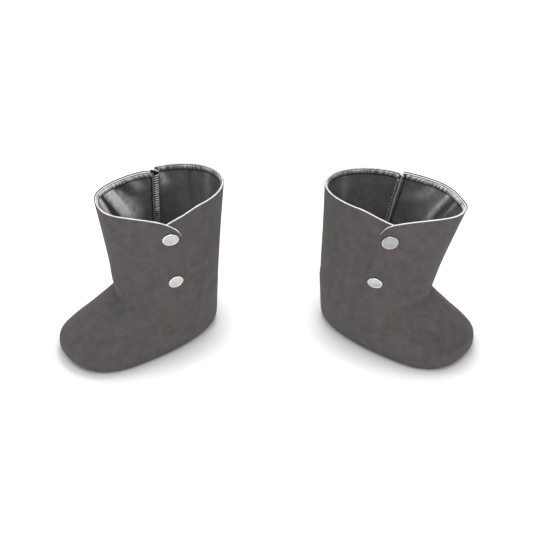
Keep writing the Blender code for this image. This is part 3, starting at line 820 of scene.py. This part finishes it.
def turned(name, centre, axis, profile, sides, materials, bright_from=1.0):
    """Makes a round piece turned about an axis, from a profile of radius and height.

    Faces past the radius bright_from take the second material.
    """
    side = unit(np.cross(axis, (0.0, 0.0, 1.0)))
    around = circle(sides, side, np.cross(side, axis))
    points = [centre + axis * profile[0][1], centre + axis * profile[-1][1]]
    for radius, height in profile[1:-1]:
        points.extend(centre + axis * height + radius * around)
    rings = len(profile) - 2
    last = 2 + (rings - 1) * sides
    faces = turned_over(grid_faces(rings, sides, 2, True))
    slots = []
    for (radius, _), (next_radius, _) in zip(profile[1:-2], profile[2:-1]):
        slots += [int(min(radius, next_radius) > bright_from)] * sides
    for step in range(sides):
        after = (step + 1) % sides
        faces += [(0, 2 + step, 2 + after), (1, last + after, last + step)]
        slots += [0, 0]
    return mesh_from(name, points, faces, slots, materials, 40)


def dress(piece, slot, *nodes):
    """Says which body a piece rides on and hides the solids that it stands for; its slot is not
    used.
    """
    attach(piece, BODY)
    if nodes:
        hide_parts(*nodes)
    return piece


def grey(level, blue=1.0):
    """Returns a grey whose blue may be a little weaker or stronger."""
    return (level, level, level * blue)


class Nodes:
    """Short calls for building one material's node tree."""

    def __init__(self, name):
        self.material = bpy.data.materials.new(name)
        self.material.use_nodes = True
        self.tree = self.material.node_tree
        self.shader = self.tree.nodes["Principled BSDF"]
        self.place = self.add("ShaderNodeTexCoord").outputs["Object"]

    def put(self, socket, value):
        """Sets a socket to a constant, or wires another node's output into it."""
        if isinstance(value, bpy.types.NodeSocket):
            self.tree.links.new(value, socket)
        elif socket.type == "RGBA":
            socket.default_value = (*value, 1.0)
        else:
            socket.default_value = value

    def add(self, kind, sockets=(), **values):
        node = self.tree.nodes.new(kind)
        for key, value in values.items():
            setattr(node, key, value)
        for key, value in dict(sockets).items():
            self.put(node.inputs[key], value)
        return node

    def noise(self, scale, detail=2.0, roughness=0.5, place=None, distortion=0.0):
        sockets = {"Vector": place or self.place, "Scale": scale, "Detail": detail,
                   "Roughness": roughness, "Distortion": distortion}
        return self.add("ShaderNodeTexNoise", sockets).outputs["Fac"]

    def attribute(self):
        """Returns the painted light and shade that the mesh's points carry."""
        return self.add("ShaderNodeAttribute", attribute_name="light").outputs["Fac"]

    def ramp(self, source, *stops):
        node = self.add("ShaderNodeValToRGB", {"Fac": source})
        elements = node.color_ramp.elements
        while len(elements) < len(stops):
            elements.new(0.5)
        for element, (position, colour) in zip(elements, stops):
            element.position = position
            element.color = (*colour, 1.0)
        return node.outputs["Color"]

    def mottle(self, source, low, high):
        return self.ramp(source, (0.3, low), (0.7, high))

    def mix(self, share, first, second, blend="MIX"):
        # the node's sockets for colours come after those for numbers and vectors
        sockets = {0: share, 6: first, 7: second}
        return self.add("ShaderNodeMix", sockets, data_type="RGBA", blend_type=blend).outputs[2]

    def times(self, first, second):
        return self.mix(1.0, first, second, "MULTIPLY")

    def maths(self, operation, first, second, clamp=False):
        sockets = {0: first, 1: second}
        return self.add("ShaderNodeMath", sockets, operation=operation, use_clamp=clamp).outputs[0]

    def bump(self, height, strength, distance, after=None):
        sockets = {"Height": height, "Strength": strength, "Distance": distance}
        if after:
            sockets["Normal"] = after
        return self.add("ShaderNodeBump", sockets).outputs["Normal"]

    def finish(self, colour, normal=None, **values):
        self.put(self.shader.inputs["Base Color"], colour)
        if normal:
            self.put(self.shader.inputs["Normal"], normal)
        for key, value in values.items():
            self.put(self.shader.inputs[key.replace("_", " ")], value)
        return self.material


def charcoal_cloth():
    """Matte brushed charcoal cloth with faint warm and green clouds, a fine nap, painted light and
    shade.
    """
    nodes = Nodes("charcoal_cloth")
    clouds = nodes.ramp(nodes.noise(95, 3.0, 0.55),
                        (0.36, (0.0770, 0.0755, 0.0685)),
                        (0.50, (0.0830, 0.0775, 0.0735)),
                        (0.64, (0.0925, 0.0785, 0.0768)))
    fibre = nodes.noise(2400, 3.0, 0.7)
    shade = nodes.mottle(nodes.noise(150, 3.0, 0.6), grey(0.84), grey(1.12))
    colour = nodes.times(nodes.times(clouds, shade), nodes.mottle(fibre, grey(0.86), grey(1.12)))
    # the mesh's painted light and shade, no darker than the darkest painted shade
    tone = nodes.maths("ADD", nodes.maths("MAXIMUM", nodes.attribute(), DARKEST_PAINTED_SHADE), 1.0)
    felt = nodes.bump(nodes.noise(420, 3.0, 0.6), 0.10, 0.0004)
    return nodes.finish(nodes.times(colour, tone), nodes.bump(fibre, 0.30, 0.00015, felt),
                        Roughness=0.93, Specular_IOR_Level=0.2, Sheen_Weight=0.06,
                        Sheen_Roughness=0.6)


def satin_lining():
    """Dark grey satin whose raised folds carry a painted pale sheen and whose troughs carry painted
    shade.
    """
    nodes = Nodes("satin_lining")
    light = nodes.attribute()
    streaks = nodes.add("ShaderNodeMapping", {"Vector": nodes.place, "Scale": (1.0, 1.0, 0.45)})
    patches = nodes.noise(330, 4.0, 0.72, streaks.outputs["Vector"], 0.8)
    # painted sheen, broken into patches, where the light attribute is positive
    sheen = nodes.maths("ADD", nodes.maths("MULTIPLY", patches, 2.6), -0.3)
    pale = nodes.maths("MAXIMUM", nodes.maths("MULTIPLY", light, sheen), 0.0, True)
    # painted shade where the light attribute is negative
    dark = nodes.maths("MAXIMUM", nodes.maths("MULTIPLY", light, -1.0), 0.0, True)
    plain = nodes.ramp(nodes.noise(110, 4.0, 0.62), (0.32, grey(0.088, 1.011)),
                       (0.68, grey(0.138, 1.014)))
    plain = nodes.times(plain, nodes.mottle(nodes.noise(900, 2.0, 0.6), grey(0.84), grey(1.14)))
    colour = nodes.mix(pale, plain, grey(0.93, 1.005))
    colour = nodes.mix(dark, colour, grey(0.030, 1.03))
    weave = nodes.add("ShaderNodeTexWave", {"Vector": nodes.place, "Scale": 900,
                      "Distortion": 1.5}, wave_type="BANDS", bands_direction="DIAGONAL")
    grain = nodes.bump(weave.outputs["Fac"], 0.10, 0.0001)
    return nodes.finish(colour, nodes.bump(nodes.noise(260, 3.0, 0.6), 0.30, 0.0006, grain),
                        Roughness=0.48, Specular_IOR_Level=0.45, Sheen_Weight=0.25,
                        Sheen_Roughness=0.4)


def plain_cloth(name, low, high, scale, roughness):
    """A small piece of cloth or thread, mottled between two colours."""
    nodes = Nodes(name)
    colour = nodes.mottle(nodes.noise(scale, 3.0, 0.6), low, high)
    return nodes.finish(colour, nodes.bump(nodes.noise(scale * 4, 2.0), 0.2, 0.0002),
                        Roughness=roughness, Specular_IOR_Level=0.3)


def satin_metal(name, low, high, roughness, blue=0.994):
    """Nickel with a soft brushed sheen and faint wear."""
    nodes = Nodes(name)
    colour = nodes.mottle(nodes.noise(260, 3.0, 0.6), grey(low, blue), grey(high, blue))
    rough = nodes.maths("ADD", nodes.maths("MULTIPLY", nodes.noise(900, 3.0), 0.12), roughness)
    return nodes.finish(colour, nodes.bump(nodes.noise(1500, 2.0), 0.05, 0.0001),
                        Metallic=1.0, Roughness=rough)


def add_panel(cover, panel, mats):
    """Adds the shell of one panel: cloth outside, lining inside."""
    name = f"{cover.name}_{panel.name}_cloth"
    piece = sheet(name, panel.outer, panel.inner, [mats["cloth"], mats["lining"]],
                  light=panel.light, outer_light=panel.outer_light)
    return dress(piece, "cloth", f"{cover.name}_{panel.name}_panel")


def add_edging(cover, panel, mats):
    """Adds the light edging in the groove along a panel's rim."""
    edge, rise = edge_frame(cover, panel.angle, panel.tops, panel.normal)
    away_share = from_corner(cover, panel.angle, panel.name)
    far_side = np.sqrt(np.clip(np.sin(np.radians(panel.angle)), 0.0, 1.0))
    full = between(CORNER_RADIUS, EDGING_RADIUS, away_share) * (1 - FAR_SIDE_THINNING * far_side)
    uneven = 1 + waves(run_along(edge), *EDGING_WAVES)
    radius = between(FADED_RADIUS, full, panel.fade) * uneven
    lift = between(FADED_LIFT, between(CORNER_LIFT, EDGING_RISE, away_share), panel.fade)
    inset = between(CORNER_IN, EDGING_IN, away_share) - snap_relief(cover, edge, panel.normal)
    inset = inset + panel_depth(cover, panel.name, panel.angle, panel.tops)
    path = moved(moved(edge, rise, lift), panel.normal, -inset)
    piece = swept([(path, panel.normal, rise, radius, radius)], EDGING_SIDES,
                  f"{cover.name}_{panel.name}_edging", [mats["edging"]])
    return dress(piece, "piping", f"{cover.name}_{panel.name}_piping")


def hem_stations(panel):
    """Returns the angles along a hem and the distances along it."""
    first = panel.angle[0] + HEM_FROM_EDGE
    last = panel.angle[-1] - HEM_FROM_SEAM / DEGREE
    if panel.name == "front":
        first = panel.angle[0] + HEM_FROM_SEAM / DEGREE
        last = panel.angle[-1] - OVERLAP_ANGLE - HEM_FROM_OVERLAP
    angle = np.linspace(first, last, int((last - first) * DEGREE / HEM_STEP))
    return angle, (angle - panel.angle[0]) * DEGREE


def hem_painted_light(angle, distance, share):
    """Returns the gathered hem's painted light: pale at the toe, a painted highlight along its top,
    a dark slash of painted shade in each trough.
    """
    toward_toe = 1 - ramp(np.abs(angle - HEM_PAINTED_LIGHT_ANGLE), *HEM_PAINTED_LIGHT_REACH)
    patches = 0.86 + waves(distance, (0.14, 5.3, 0.0), (0.08, 2.1, share))
    # painted highlight along the hem's top
    top_edge = (0.20 + waves(distance, (0.15, 3.7, 0.0))) * (1 - share) ** 2
    # painted shade in each trough
    dark = between(*TROUGH_PAINTED_SHADE, toward_toe) * slash(distance, share)
    return between(*HEM_PAINTED_TONES, toward_toe) * patches + top_edge - dark


def add_hem(cover, panel, mats):
    """Adds the gathered hem inside a panel's rim."""
    angle, distance = hem_stations(panel)
    tops = rim_top(cover, angle, panel.name)
    outer = []
    inner = []
    light = []
    for share in np.linspace(1.0, 0.0, HEM_ROWS):
        height = tops + between(HEM_TOP, HEM_BOTTOM, share)
        point = surface(cover, angle, height)
        inward = -outward(cover, angle, height)
        depth = CLOTH + panel_depth(cover, panel.name, angle, height)
        base = HEM_CLEAR + HEM_BASE * between(1.0, 0.25, ramp(share, 0.80, 1.0))
        outer.append(moved(point, inward, depth - HEM_SUNK))
        inner.append(moved(point, inward, depth + base + pucker(distance, share)))
        # the hem's painted light and shade, carried by the light attribute
        light.append(hem_painted_light(angle, distance, share))
    piece = sheet(f"{cover.name}_{panel.name}_gathers", np.array(outer), np.array(inner),
                  [mats["lining"]], slots=(0, 0, 0), light=np.array(light), smooth_angle=70)
    return dress(piece, "lining", f"{cover.name}_{panel.name}_hem")


def add_hem_stitches(cover, panel, mats):
    """Adds the dark row of stitches that holds the hem down."""
    angle, distance = hem_stations(panel)
    share = np.linspace(0.0, 1.0, 6)
    strands = []
    for number in range(int((distance[-1] - distance[0]) / HEM_STITCH_PITCH)):
        start = distance[0] + number * HEM_STITCH_PITCH
        at = np.interp(start + HEM_STITCH * share, distance, angle)
        height = rim_top(cover, at, panel.name) + HEM_BOTTOM - STITCHES_BELOW
        inward = -outward(cover, at, height)
        stand = STITCH_STAND + STITCH_BOW * np.sin(math.pi * share)
        depth = CLOTH + panel_depth(cover, panel.name, at, height) + stand
        strands.append((moved(surface(cover, at, height), inward, depth), inward))
    piece = threads(f"{cover.name}_{panel.name}_hem_stitches", strands, HEM_THREAD,
                    [mats["dark_thread"]])
    return dress(piece, "lining")


# Cross-section of each seam tape: the distance from the seam toward the heel and how far it stands
# in, in millimetres, and the tone of the band that starts there
TAPE_SECTIONS = {
    "left": (
        (-3.2, 0.05, "dark"), (-3.05, 0.50, "dark"), (-2.35, 0.60, "grey"), (-2.25, 1.15, "grey"),
        (-1.60, 1.30, "grey"), (-0.95, 1.15, "dark"), (-0.7, 0.9, "dark"), (0.6, 0.9, "dark"),
        (1.6, 1.1, "dark"), (2.6, 1, "dark"), (3.1, 0.8, "dark"), (3.5, 0.5, "dark"),
        (3.45, 0.05, "dark"),
    ),
    "right": (
        (-2.7, 0.05, "dark"), (-2.55, 0.50, "dark"), (-2.15, 0.60, "deep"), (-2.05, 1, "deep"),
        (-1.3, 1.1, "deep"), (-0.55, 1, "pale"), (-0.35, 1.45, "pale"), (0.3, 1.55, "pale"),
        (0.60, 1.35, "dark"), (0.85, 0.8, "dark"), (1.2, 0.8, "deep"), (1.9, 1, "deep"),
        (2.5, 0.9, "dark"), (2.9, 0.8, "dark"), (3.2, 0.5, "dark"), (3.15, 0.05, "dark"),
    ),
}
# the near-black dark tone is painted shadow along the tape's edges and between its loops
TAPE_TONES = ("grey", "dark", "deep", "pale")
# Where the overlock loops of each tape start and end
LOOP_SPANS = {"left": (-0.85, 2.75), "right": (1.0, 2.6)}
# How far down from the rim the loops take the pale thread; below, a darker copy of it is painted
# shade
PALE_LOOPS = {"left": 34 * MM, "right": 5 * MM}
TAPE_TOP = -1.3 * MM
TAPE_FOOT = 5.0 * MM
TAPE_ROWS = 130
TAPE_SWELL = 0.3
# The loops' pitch and the shares of a loop at which its points lie, and the chain along their ends:
# the distance between its points and how far it stands in, in millimetres
LOOP_PITCH = 1.85 * MM
LOOP_SHARES = (0.0, 0.25, 0.5, 0.75, 0.93, 1.0)
CHAIN_STEP = 0.3 * MM
CHAIN_STAND = 1.45


def seam_point(cover, height, offset, stand):
    """Returns points beside the side seam on the inside, with the way that they face."""
    angle = side_seam_angle(cover, height) - np.asarray(offset) / DEGREE
    normal = outward(cover, angle, height)
    return moved(surface(cover, angle, height), -normal, CLOTH + np.asarray(stand)), -normal


def seam_top(cover):
    """Returns the height of the wall's top edge at the side seam."""
    return float(wall_top(cover, side_seam_angle(cover, RIM_HEIGHT), False))


def add_tape(cover, mats):
    """Adds the seam allowance that stands in along the side seam, in bands of four tones; its
    near-black bands are painted shadow.
    """
    section = TAPE_SECTIONS[cover.name]
    heights = np.linspace(TAPE_FOOT, seam_top(cover) + TAPE_TOP, TAPE_ROWS)
    lines = []
    for offset, stand, _ in section:
        sway = waves(heights, (0.10, 4.7, offset), (0.06, 1.9, 0.0))
        stands = stand + TAPE_SWELL * sway * (stand > 0.5)
        lines.append(seam_point(cover, heights, (offset + sway) * MM, stands * MM)[0])
    slots = [TAPE_TONES.index(tone) for _, _, tone in section] * (TAPE_ROWS - 1)
    slots += [TAPE_TONES.index("dark")] * 2
    piece = mesh_from(f"{cover.name}_seam_tape", np.array(lines).transpose(1, 0, 2),
                      closed_tube(TAPE_ROWS, len(section)), slots,
                      [mats[f"{tone}_tape"] for tone in TAPE_TONES], 70)
    return dress(piece, "lining", f"{cover.name}_seam_strip")


def add_overlock(cover, mats):
    """Adds the overlock loops on the heel half of the tape, and the chain along their ends."""
    first, last = LOOP_SPANS[cover.name]
    top = seam_top(cover) + TAPE_TOP - 0.6 * MM
    share = np.array(LOOP_SHARES)
    stands = 1.20 + 0.40 * np.sin(math.pi * share**0.8) - 0.20 * share**4
    strands = {"pale": [], "shaded": []}
    for number in range(int((top - TAPE_FOOT - 2 * MM) / LOOP_PITCH)):
        base = TAPE_FOOT + 1.5 * MM + number * LOOP_PITCH
        wobble = 0.14 * math.sin(2.3 * number) + 0.10 * math.sin(0.9 * number)
        shorter = 0.25 * (1 + math.sin(1.7 * number + 0.4 * math.sin(3.1 * number)))
        offsets = first + (last - first - shorter) * share
        strand = seam_point(cover, base + (0.60 + wobble) * share * MM, offsets * MM, stands * MM)
        # lower loops take the shaded copy of the thread: painted shade
        tone = "pale" if base > top - PALE_LOOPS[cover.name] else "shaded"
        strands[tone].append(strand)
    chain = np.arange(TAPE_FOOT + 1 * MM, top, CHAIN_STEP)
    sway = 0.15 * np.sin(2 * math.pi * chain / LOOP_PITCH)
    stands = CHAIN_STAND + 0.08 * sway
    strands["shaded"].append(seam_point(cover, chain, (last - 0.1 + sway) * MM, stands * MM))
    return [dress(threads(f"{cover.name}_{tone}_overlock", lines, OVERLOCK_THREAD,
                          [mats[f"{tone}_thread"]]), "lining")
            for tone, lines in strands.items()]


# Folded ends over the top of each tape, and a dark roll of painted shadow below them, from start to
# end: the offset toward the heel and the height over the wall's top edge, the end's two radii and
# how far it stands in, in millimetres
FOLDED_ENDS = {
    "left": (
        ("tab", "edging", (-2.2, 1.9), (2.9, -1.6), (0.42, 0.55), 2.2),
        ("tab_painted_shadow", "dark_tape", (-3.4, 0.6), (2.6, -3.2), (1.20, 0.55), 1.6),
    ),
    "right": (
        ("tab", "edging", (4.6, -2.6), (2.3, -0.5), (0.35, 0.45), 1.6),
        ("tab_end", "pale_thread", (2.1, 0.4), (-1.2, -1.5), (0.60, 0.75), 1.5),
        ("tab_painted_shadow", "dark_tape", (-3.0, 0.2), (-0.9, -4.6), (0.65, 0.40), 1.5),
    ),
}


def add_tab(cover, mats):
    """Adds the folded ends over the top of the tape, and a dark roll below them that paints their
    shadow.
    """
    share = np.linspace(0.0, 1.0, 14)
    plump = np.sqrt(np.sin(math.pi * (0.06 + 0.88 * share)))
    ends = []
    for name, tone, start, end, radii, stand in FOLDED_ENDS[cover.name]:
        height = seam_top(cover) + between(start[1], end[1], share**1.2) * MM
        stands = stand - 0.9 * (2 * share - 1) ** 2
        points, facing = seam_point(cover, height, between(start[0], end[0], share) * MM,
                                    stands * MM)
        side = unit(np.cross(facing, unit(np.gradient(points, axis=0))))
        radius = between(*radii, share) * plump * MM
        piece = swept([(points, side, facing, radius, radius * 0.7)], 12,
                      f"{cover.name}_{name}", [mats[tone]])
        ends.append(dress(piece, "piping" if tone == "edging" else "lining"))
    return ends


# Profiles of a cap and of the socket behind it, from the middle of the side that lies on the cloth
# to the middle of the other side: radius and height in millimetres
CAP_PROFILE = ((0.0, 0.0), (5.82, 0.0), (5.97, 0.10), (6.0, 0.26), (5.93, 0.45), (5.74, 0.62),
               (5.48, 0.70), (5.24, 0.67), (5.06, 0.57), (4.90, 0.52), (4.1, 0.58), (2.8, 0.66),
               (1.4, 0.71), (0.0, 0.72))
BACK_PROFILE = ((0.0, 0.0), (5.0, 0.0), (5.2, 0.2), (5.15, 0.5), (4.7, 0.8), (4.2, 1.5), (3.8, 1.75),
                (3.3, 1.7), (3.0, 1.3), (2.9, 0.7), (0.0, 0.62))
# The cap's ring starts at this radius. Cap and socket keep clear of the cloth.
CAP_RING = 5.1 * MM
CAP_LIFT = 0.05 * MM
BACK_CLEAR = 0.15 * MM


def in_metres(profile, size=1.0):
    """Returns a profile of millimetres in metres, its radii made larger or smaller by size."""
    return [(radius * size * MM, height * MM) for radius, height in profile]


def add_snaps(cover, mats):
    """Adds both snaps: a satin cap on the flap and a socket on the underlap's inner face."""
    caps = []
    backs = []
    for name in SNAP_HEIGHTS:
        place, normal, facing = snap_place(cover, name)
        cap = turned(f"{cover.name}_{name}_cap", place + normal * CAP_LIFT, facing,
                     in_metres(CAP_PROFILE, CAP_SIZES[name]), 72,
                     [mats[metal] for metal in CAP_METALS[cover.name, name]],
                     CAP_RING * CAP_SIZES[name])
        caps.append(dress(cap, "snap_metal", f"{cover.name}_{name}_snap_cap"))
        axis = unit(between(normal, facing, CLOTH_FOLLOWS))
        behind = place - axis * (UNDERLAP_DEPTH + CLOTH + BACK_CLEAR)
        back = turned(f"{cover.name}_{name}_socket", behind, -axis, in_metres(BACK_PROFILE), 48,
                      [mats["back_metal"]])
        backs.append(dress(back, "snap_back_metal", f"{cover.name}_{name}_snap_back"))
    return caps, backs


# Rings of the sole, in shares of the way from its middle to its edge
SOLE_SHARES = (1.0, 0.995, 0.985, 0.97, 0.955, 0.945, 0.935, 0.925, 0.91, 0.88, 0.82, 0.72, 0.58,
               0.4, 0.2)
# The sole's sewn channel and rolled edge, placed in the same shares
SOLE_GROOVE = 0.94
GROOVE_WIDTH = 0.012
GROOVE_DEPTH = 0.45 * MM
SOLE_ROLL = 0.35 * MM
SOLE_ROLLS_FROM = 0.985
SOLE_THICKNESS = 1.5 * MM
SOLE_CLEAR = 0.1 * MM
UPPER_GROOVE = 0.6
# The sole's stitches: their height over the floor, length and pitch
SOLE_STITCH_HEIGHT = 0.34 * MM
SOLE_STITCH = 2.6 * MM
SOLE_STITCH_PITCH = 3.2 * MM


def sole_ring(cover):
    """Returns the sole's outline, just inside the walls."""
    angle = np.arange(0.0, 360.0, 1.5)
    level = unit(outward(cover, angle, 0.0) * (1, 1, 0))
    return surface(cover, angle, 0.0) - level * (CLOTH + SOLE_CLEAR)


def add_sole(cover, mats):
    """Adds the flat sole inside the walls, with a sewn channel near its edge."""
    ring = sole_ring(cover)
    centre = ring.mean(axis=0)
    under = []
    upper = []
    for share in SOLE_SHARES:
        flat = between(centre, ring, share)
        groove = GROOVE_DEPTH * bell((share - SOLE_GROOVE) / GROOVE_WIDTH)
        edge = SOLE_ROLL * max(0.0, (share - SOLE_ROLLS_FROM) / (1 - SOLE_ROLLS_FROM))
        under.append(flat + (0, 0, groove + edge))
        upper.append(flat + (0, 0, SOLE_THICKNESS - edge - UPPER_GROOVE * groove))
    columns = len(ring)
    half = len(SOLE_SHARES) * columns
    middle = tuple(range(half - columns, half))
    faces = grid_faces(len(SOLE_SHARES), columns, 0, True) + [middle]
    upper_faces = turned_over([tuple(half + corner for corner in face) for face in faces])
    for step in range(columns):
        after = (step + 1) % columns
        faces.append((after, step, half + step, half + after))
    slots = [0] * len(faces) + [1] * len(upper_faces)
    points = np.array(under + upper).reshape(-1, 3)
    piece = mesh_from(f"{cover.name}_sole_cloth", points, faces + upper_faces, slots,
                      [mats["cloth"], mats["lining"]], 50, np.zeros(len(points)))
    dress(piece, "cloth", f"{cover.name}_sole")
    path = between(centre, ring, SOLE_GROOVE) + (0, 0, SOLE_STITCH_HEIGHT)
    length = run_along(path)
    strands = []
    for number in range(int(length[-1] / SOLE_STITCH_PITCH)):
        at = number * SOLE_STITCH_PITCH + np.linspace(0.0, SOLE_STITCH, 5)
        line = np.stack([np.interp(at, length, path[:, axis]) for axis in range(3)], axis=1)
        strands.append((line, (0.0, 0.0, -1.0)))
    stitches = threads(f"{cover.name}_sole_stitches", strands, SOLE_THREAD,
                       [mats["cloth_thread"]])
    dress(stitches, "cloth")
    return piece, stitches


def cut_size(grid):
    """Returns a panel's flat width and length, and its area, from its finished form."""
    across = np.linalg.norm(np.diff(grid, axis=1), axis=2).sum(axis=1).max()
    along = np.linalg.norm(np.diff(grid, axis=0), axis=2).sum(axis=0).max()
    first = grid[1:, 1:] - grid[:-1, :-1]
    second = grid[1:, :-1] - grid[:-1, 1:]
    area = np.linalg.norm(np.cross(first, second), axis=2).sum() / 2
    return (float(across), float(along)), float(area)


def sole_size(cover):
    """Returns the sole's flat width and length, and its area."""
    ring = sole_ring(cover)[:, :2]
    turn = math.radians(cover.yaw)
    way = np.array((-cover.mirror * math.cos(turn), -math.sin(turn)))
    length = np.ptp(ring @ way)
    width = np.ptp(ring @ np.array((-way[1], way[0])))
    after = np.roll(ring, -1, axis=0)
    area = abs((ring[:, 0] * after[:, 1] - ring[:, 1] * after[:, 0]).sum()) / 2
    return (float(width), float(length)), float(area)


PANEL_PIECES = (add_panel, add_edging, add_hem, add_hem_stitches)


def add_cover(cover, mats):
    """Adds every piece of one cover, and works out the flat sizes of its cloth."""
    front = lay_out(cover, "front")
    back = lay_out(cover, "back")
    caps, backs = add_snaps(cover, mats)
    sole, sole_stitches = add_sole(cover, mats)
    front_cloth, *front_extra = [add(cover, front, mats) for add in PANEL_PIECES]
    back_cloth, *back_extra = [add(cover, back, mats) for add in PANEL_PIECES]
    tape = [add_tape(cover, mats)] + add_overlock(cover, mats) + add_tab(cover, mats)
    front_flat, front_area = cut_size(front.base)
    back_flat, back_area = cut_size(back.base)
    sole_flat, sole_area = sole_size(cover)


def add_floor():
    """Adds the pale floor that the pair stands on, which glows where nothing stands close; near the
    pair the glow fades, a painted contact shadow.
    """
    mesh = bpy.data.meshes.new("floor")
    corners = ((-1, -1), (1, -1), (1, 1), (-1, 1))
    mesh.from_pydata([(x * FLOOR_REACH, y * FLOOR_REACH, 0) for x, y in corners], [],
                     [(0, 1, 2, 3)])
    nodes = Nodes("pale_floor")
    colour = nodes.mottle(nodes.noise(3.0), grey(0.78), grey(0.79))
    # the glow fades where the pair stands close: a painted contact shadow
    open_air = nodes.add("ShaderNodeAmbientOcclusion", {"Distance": SHADOW_REACH}, samples=16)
    glow = nodes.maths("POWER", open_air.outputs["AO"], SHADOW_POWER)
    mesh.materials.append(nodes.finish(colour, Roughness=1.0, Specular_IOR_Level=0.0,
                                       Emission_Color=grey(1.0),
                                       Emission_Strength=nodes.maths("MULTIPLY", glow, FLOOR_GLOW)))
    link("floor", mesh)


def add_light(name, place, target, size, power):
    """Adds a soft square lamp that points at a target."""
    data = bpy.data.lights.new(name, "AREA")
    data.shape = "SQUARE"
    data.size = size
    data.energy = power
    item = bpy.data.objects.new(name, data)
    item.location = place
    item.rotation_euler = (Vector(target) - Vector(place)).to_track_quat("-Z", "Y").to_euler()
    item.visible_camera = False
    bpy.context.scene.collection.objects.link(item)


def light_scene():
    """Sets even white surroundings, a lamp high behind the pair and a broad fill at the front."""
    world = bpy.data.worlds.new("studio")
    world.use_nodes = True
    sky = world.node_tree.nodes["Background"]
    sky.inputs["Color"].default_value = (1.0, 1.0, 1.0, 1.0)
    sky.inputs["Strength"].default_value = SKY
    bpy.context.scene.world = world
    add_light("top", (0.0, 0.30, 1.1), (0.0, 0.0, 0.03), 0.35, TOP_POWER)
    add_light("fill", (0.0, -1.0, 1.27), (0.0, 0.0, 0.06), 1.2, FILL_POWER)


def add_camera():
    """Adds the camera at the photograph's viewing angle."""
    data = bpy.data.cameras.new("camera")
    data.lens = CAMERA_LENS
    data.sensor_width = SENSOR
    camera = bpy.data.objects.new("camera", data)
    bpy.context.scene.collection.objects.link(camera)
    tilt = math.radians(CAMERA_ELEVATION)
    away = Vector((0.0, -math.cos(tilt), math.sin(tilt)))
    camera.location = CAMERA_TARGET + away * CAMERA_DISTANCE
    camera.rotation_euler = (-away).to_track_quat("-Z", "Y").to_euler()
    bpy.context.scene.camera = camera


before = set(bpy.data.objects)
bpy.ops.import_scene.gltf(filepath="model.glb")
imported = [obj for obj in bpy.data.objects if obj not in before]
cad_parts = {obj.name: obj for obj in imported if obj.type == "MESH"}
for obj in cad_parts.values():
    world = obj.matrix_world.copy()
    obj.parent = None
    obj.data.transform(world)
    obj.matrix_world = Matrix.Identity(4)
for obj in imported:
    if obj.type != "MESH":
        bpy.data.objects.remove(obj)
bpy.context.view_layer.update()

add_camera()
light_scene()
add_floor()
bpy.context.scene.view_settings.view_transform = "Standard"

MATERIALS = {
    "cloth": charcoal_cloth(),
    "lining": satin_lining(),
    "edging": plain_cloth("light_edging", grey(0.80, 0.988), grey(0.92, 0.989), 700, 0.85),
    "grey_tape": plain_cloth("grey_tape", grey(0.13, 1.008), grey(0.21, 1.005), 300, 0.6),
    # near black: painted shadow at the tape's edges and below its folded ends
    "dark_tape": plain_cloth("dark_tape", grey(0.007), grey(0.018), 500, 0.75),
    "deep_tape": plain_cloth("deep_tape", grey(0.070, 1.014), grey(0.110, 1.009), 400, 0.65),
    "pale_tape": plain_cloth("pale_tape", grey(0.30), grey(0.48), 400, 0.6),
    "pale_thread": plain_cloth("pale_thread", grey(0.78), grey(0.97), 500, 0.6),
    "shaded_thread": plain_cloth("shaded_thread", grey(0.13), grey(0.42), 420, 0.6),
    "dark_thread": plain_cloth("dark_thread", grey(0.006), grey(0.014), 500, 0.7),
    "cloth_thread": plain_cloth("cloth_thread", (0.055, 0.053, 0.051), (0.085, 0.081, 0.078),
                                500, 0.8),
    # one nickel in copies: the lighter and darker ones are painted light and shade, the brightest a
    # painted highlight on the caps' rings
    "metal": satin_metal("satin_nickel", 0.51, 0.59, 0.32),
    "shaded_metal": satin_metal("shaded_nickel", 0.33, 0.40, 0.34),
    "lit_metal": satin_metal("lit_nickel", 0.60, 0.68, 0.32),
    "highlight_metal": satin_metal("highlight_nickel", 0.86, 0.93, 0.28),
    "back_metal": satin_metal("dull_nickel", 0.38, 0.46, 0.38, 1.0),
}
for one_cover in COVERS:
    add_cover(one_cover, MATERIALS)
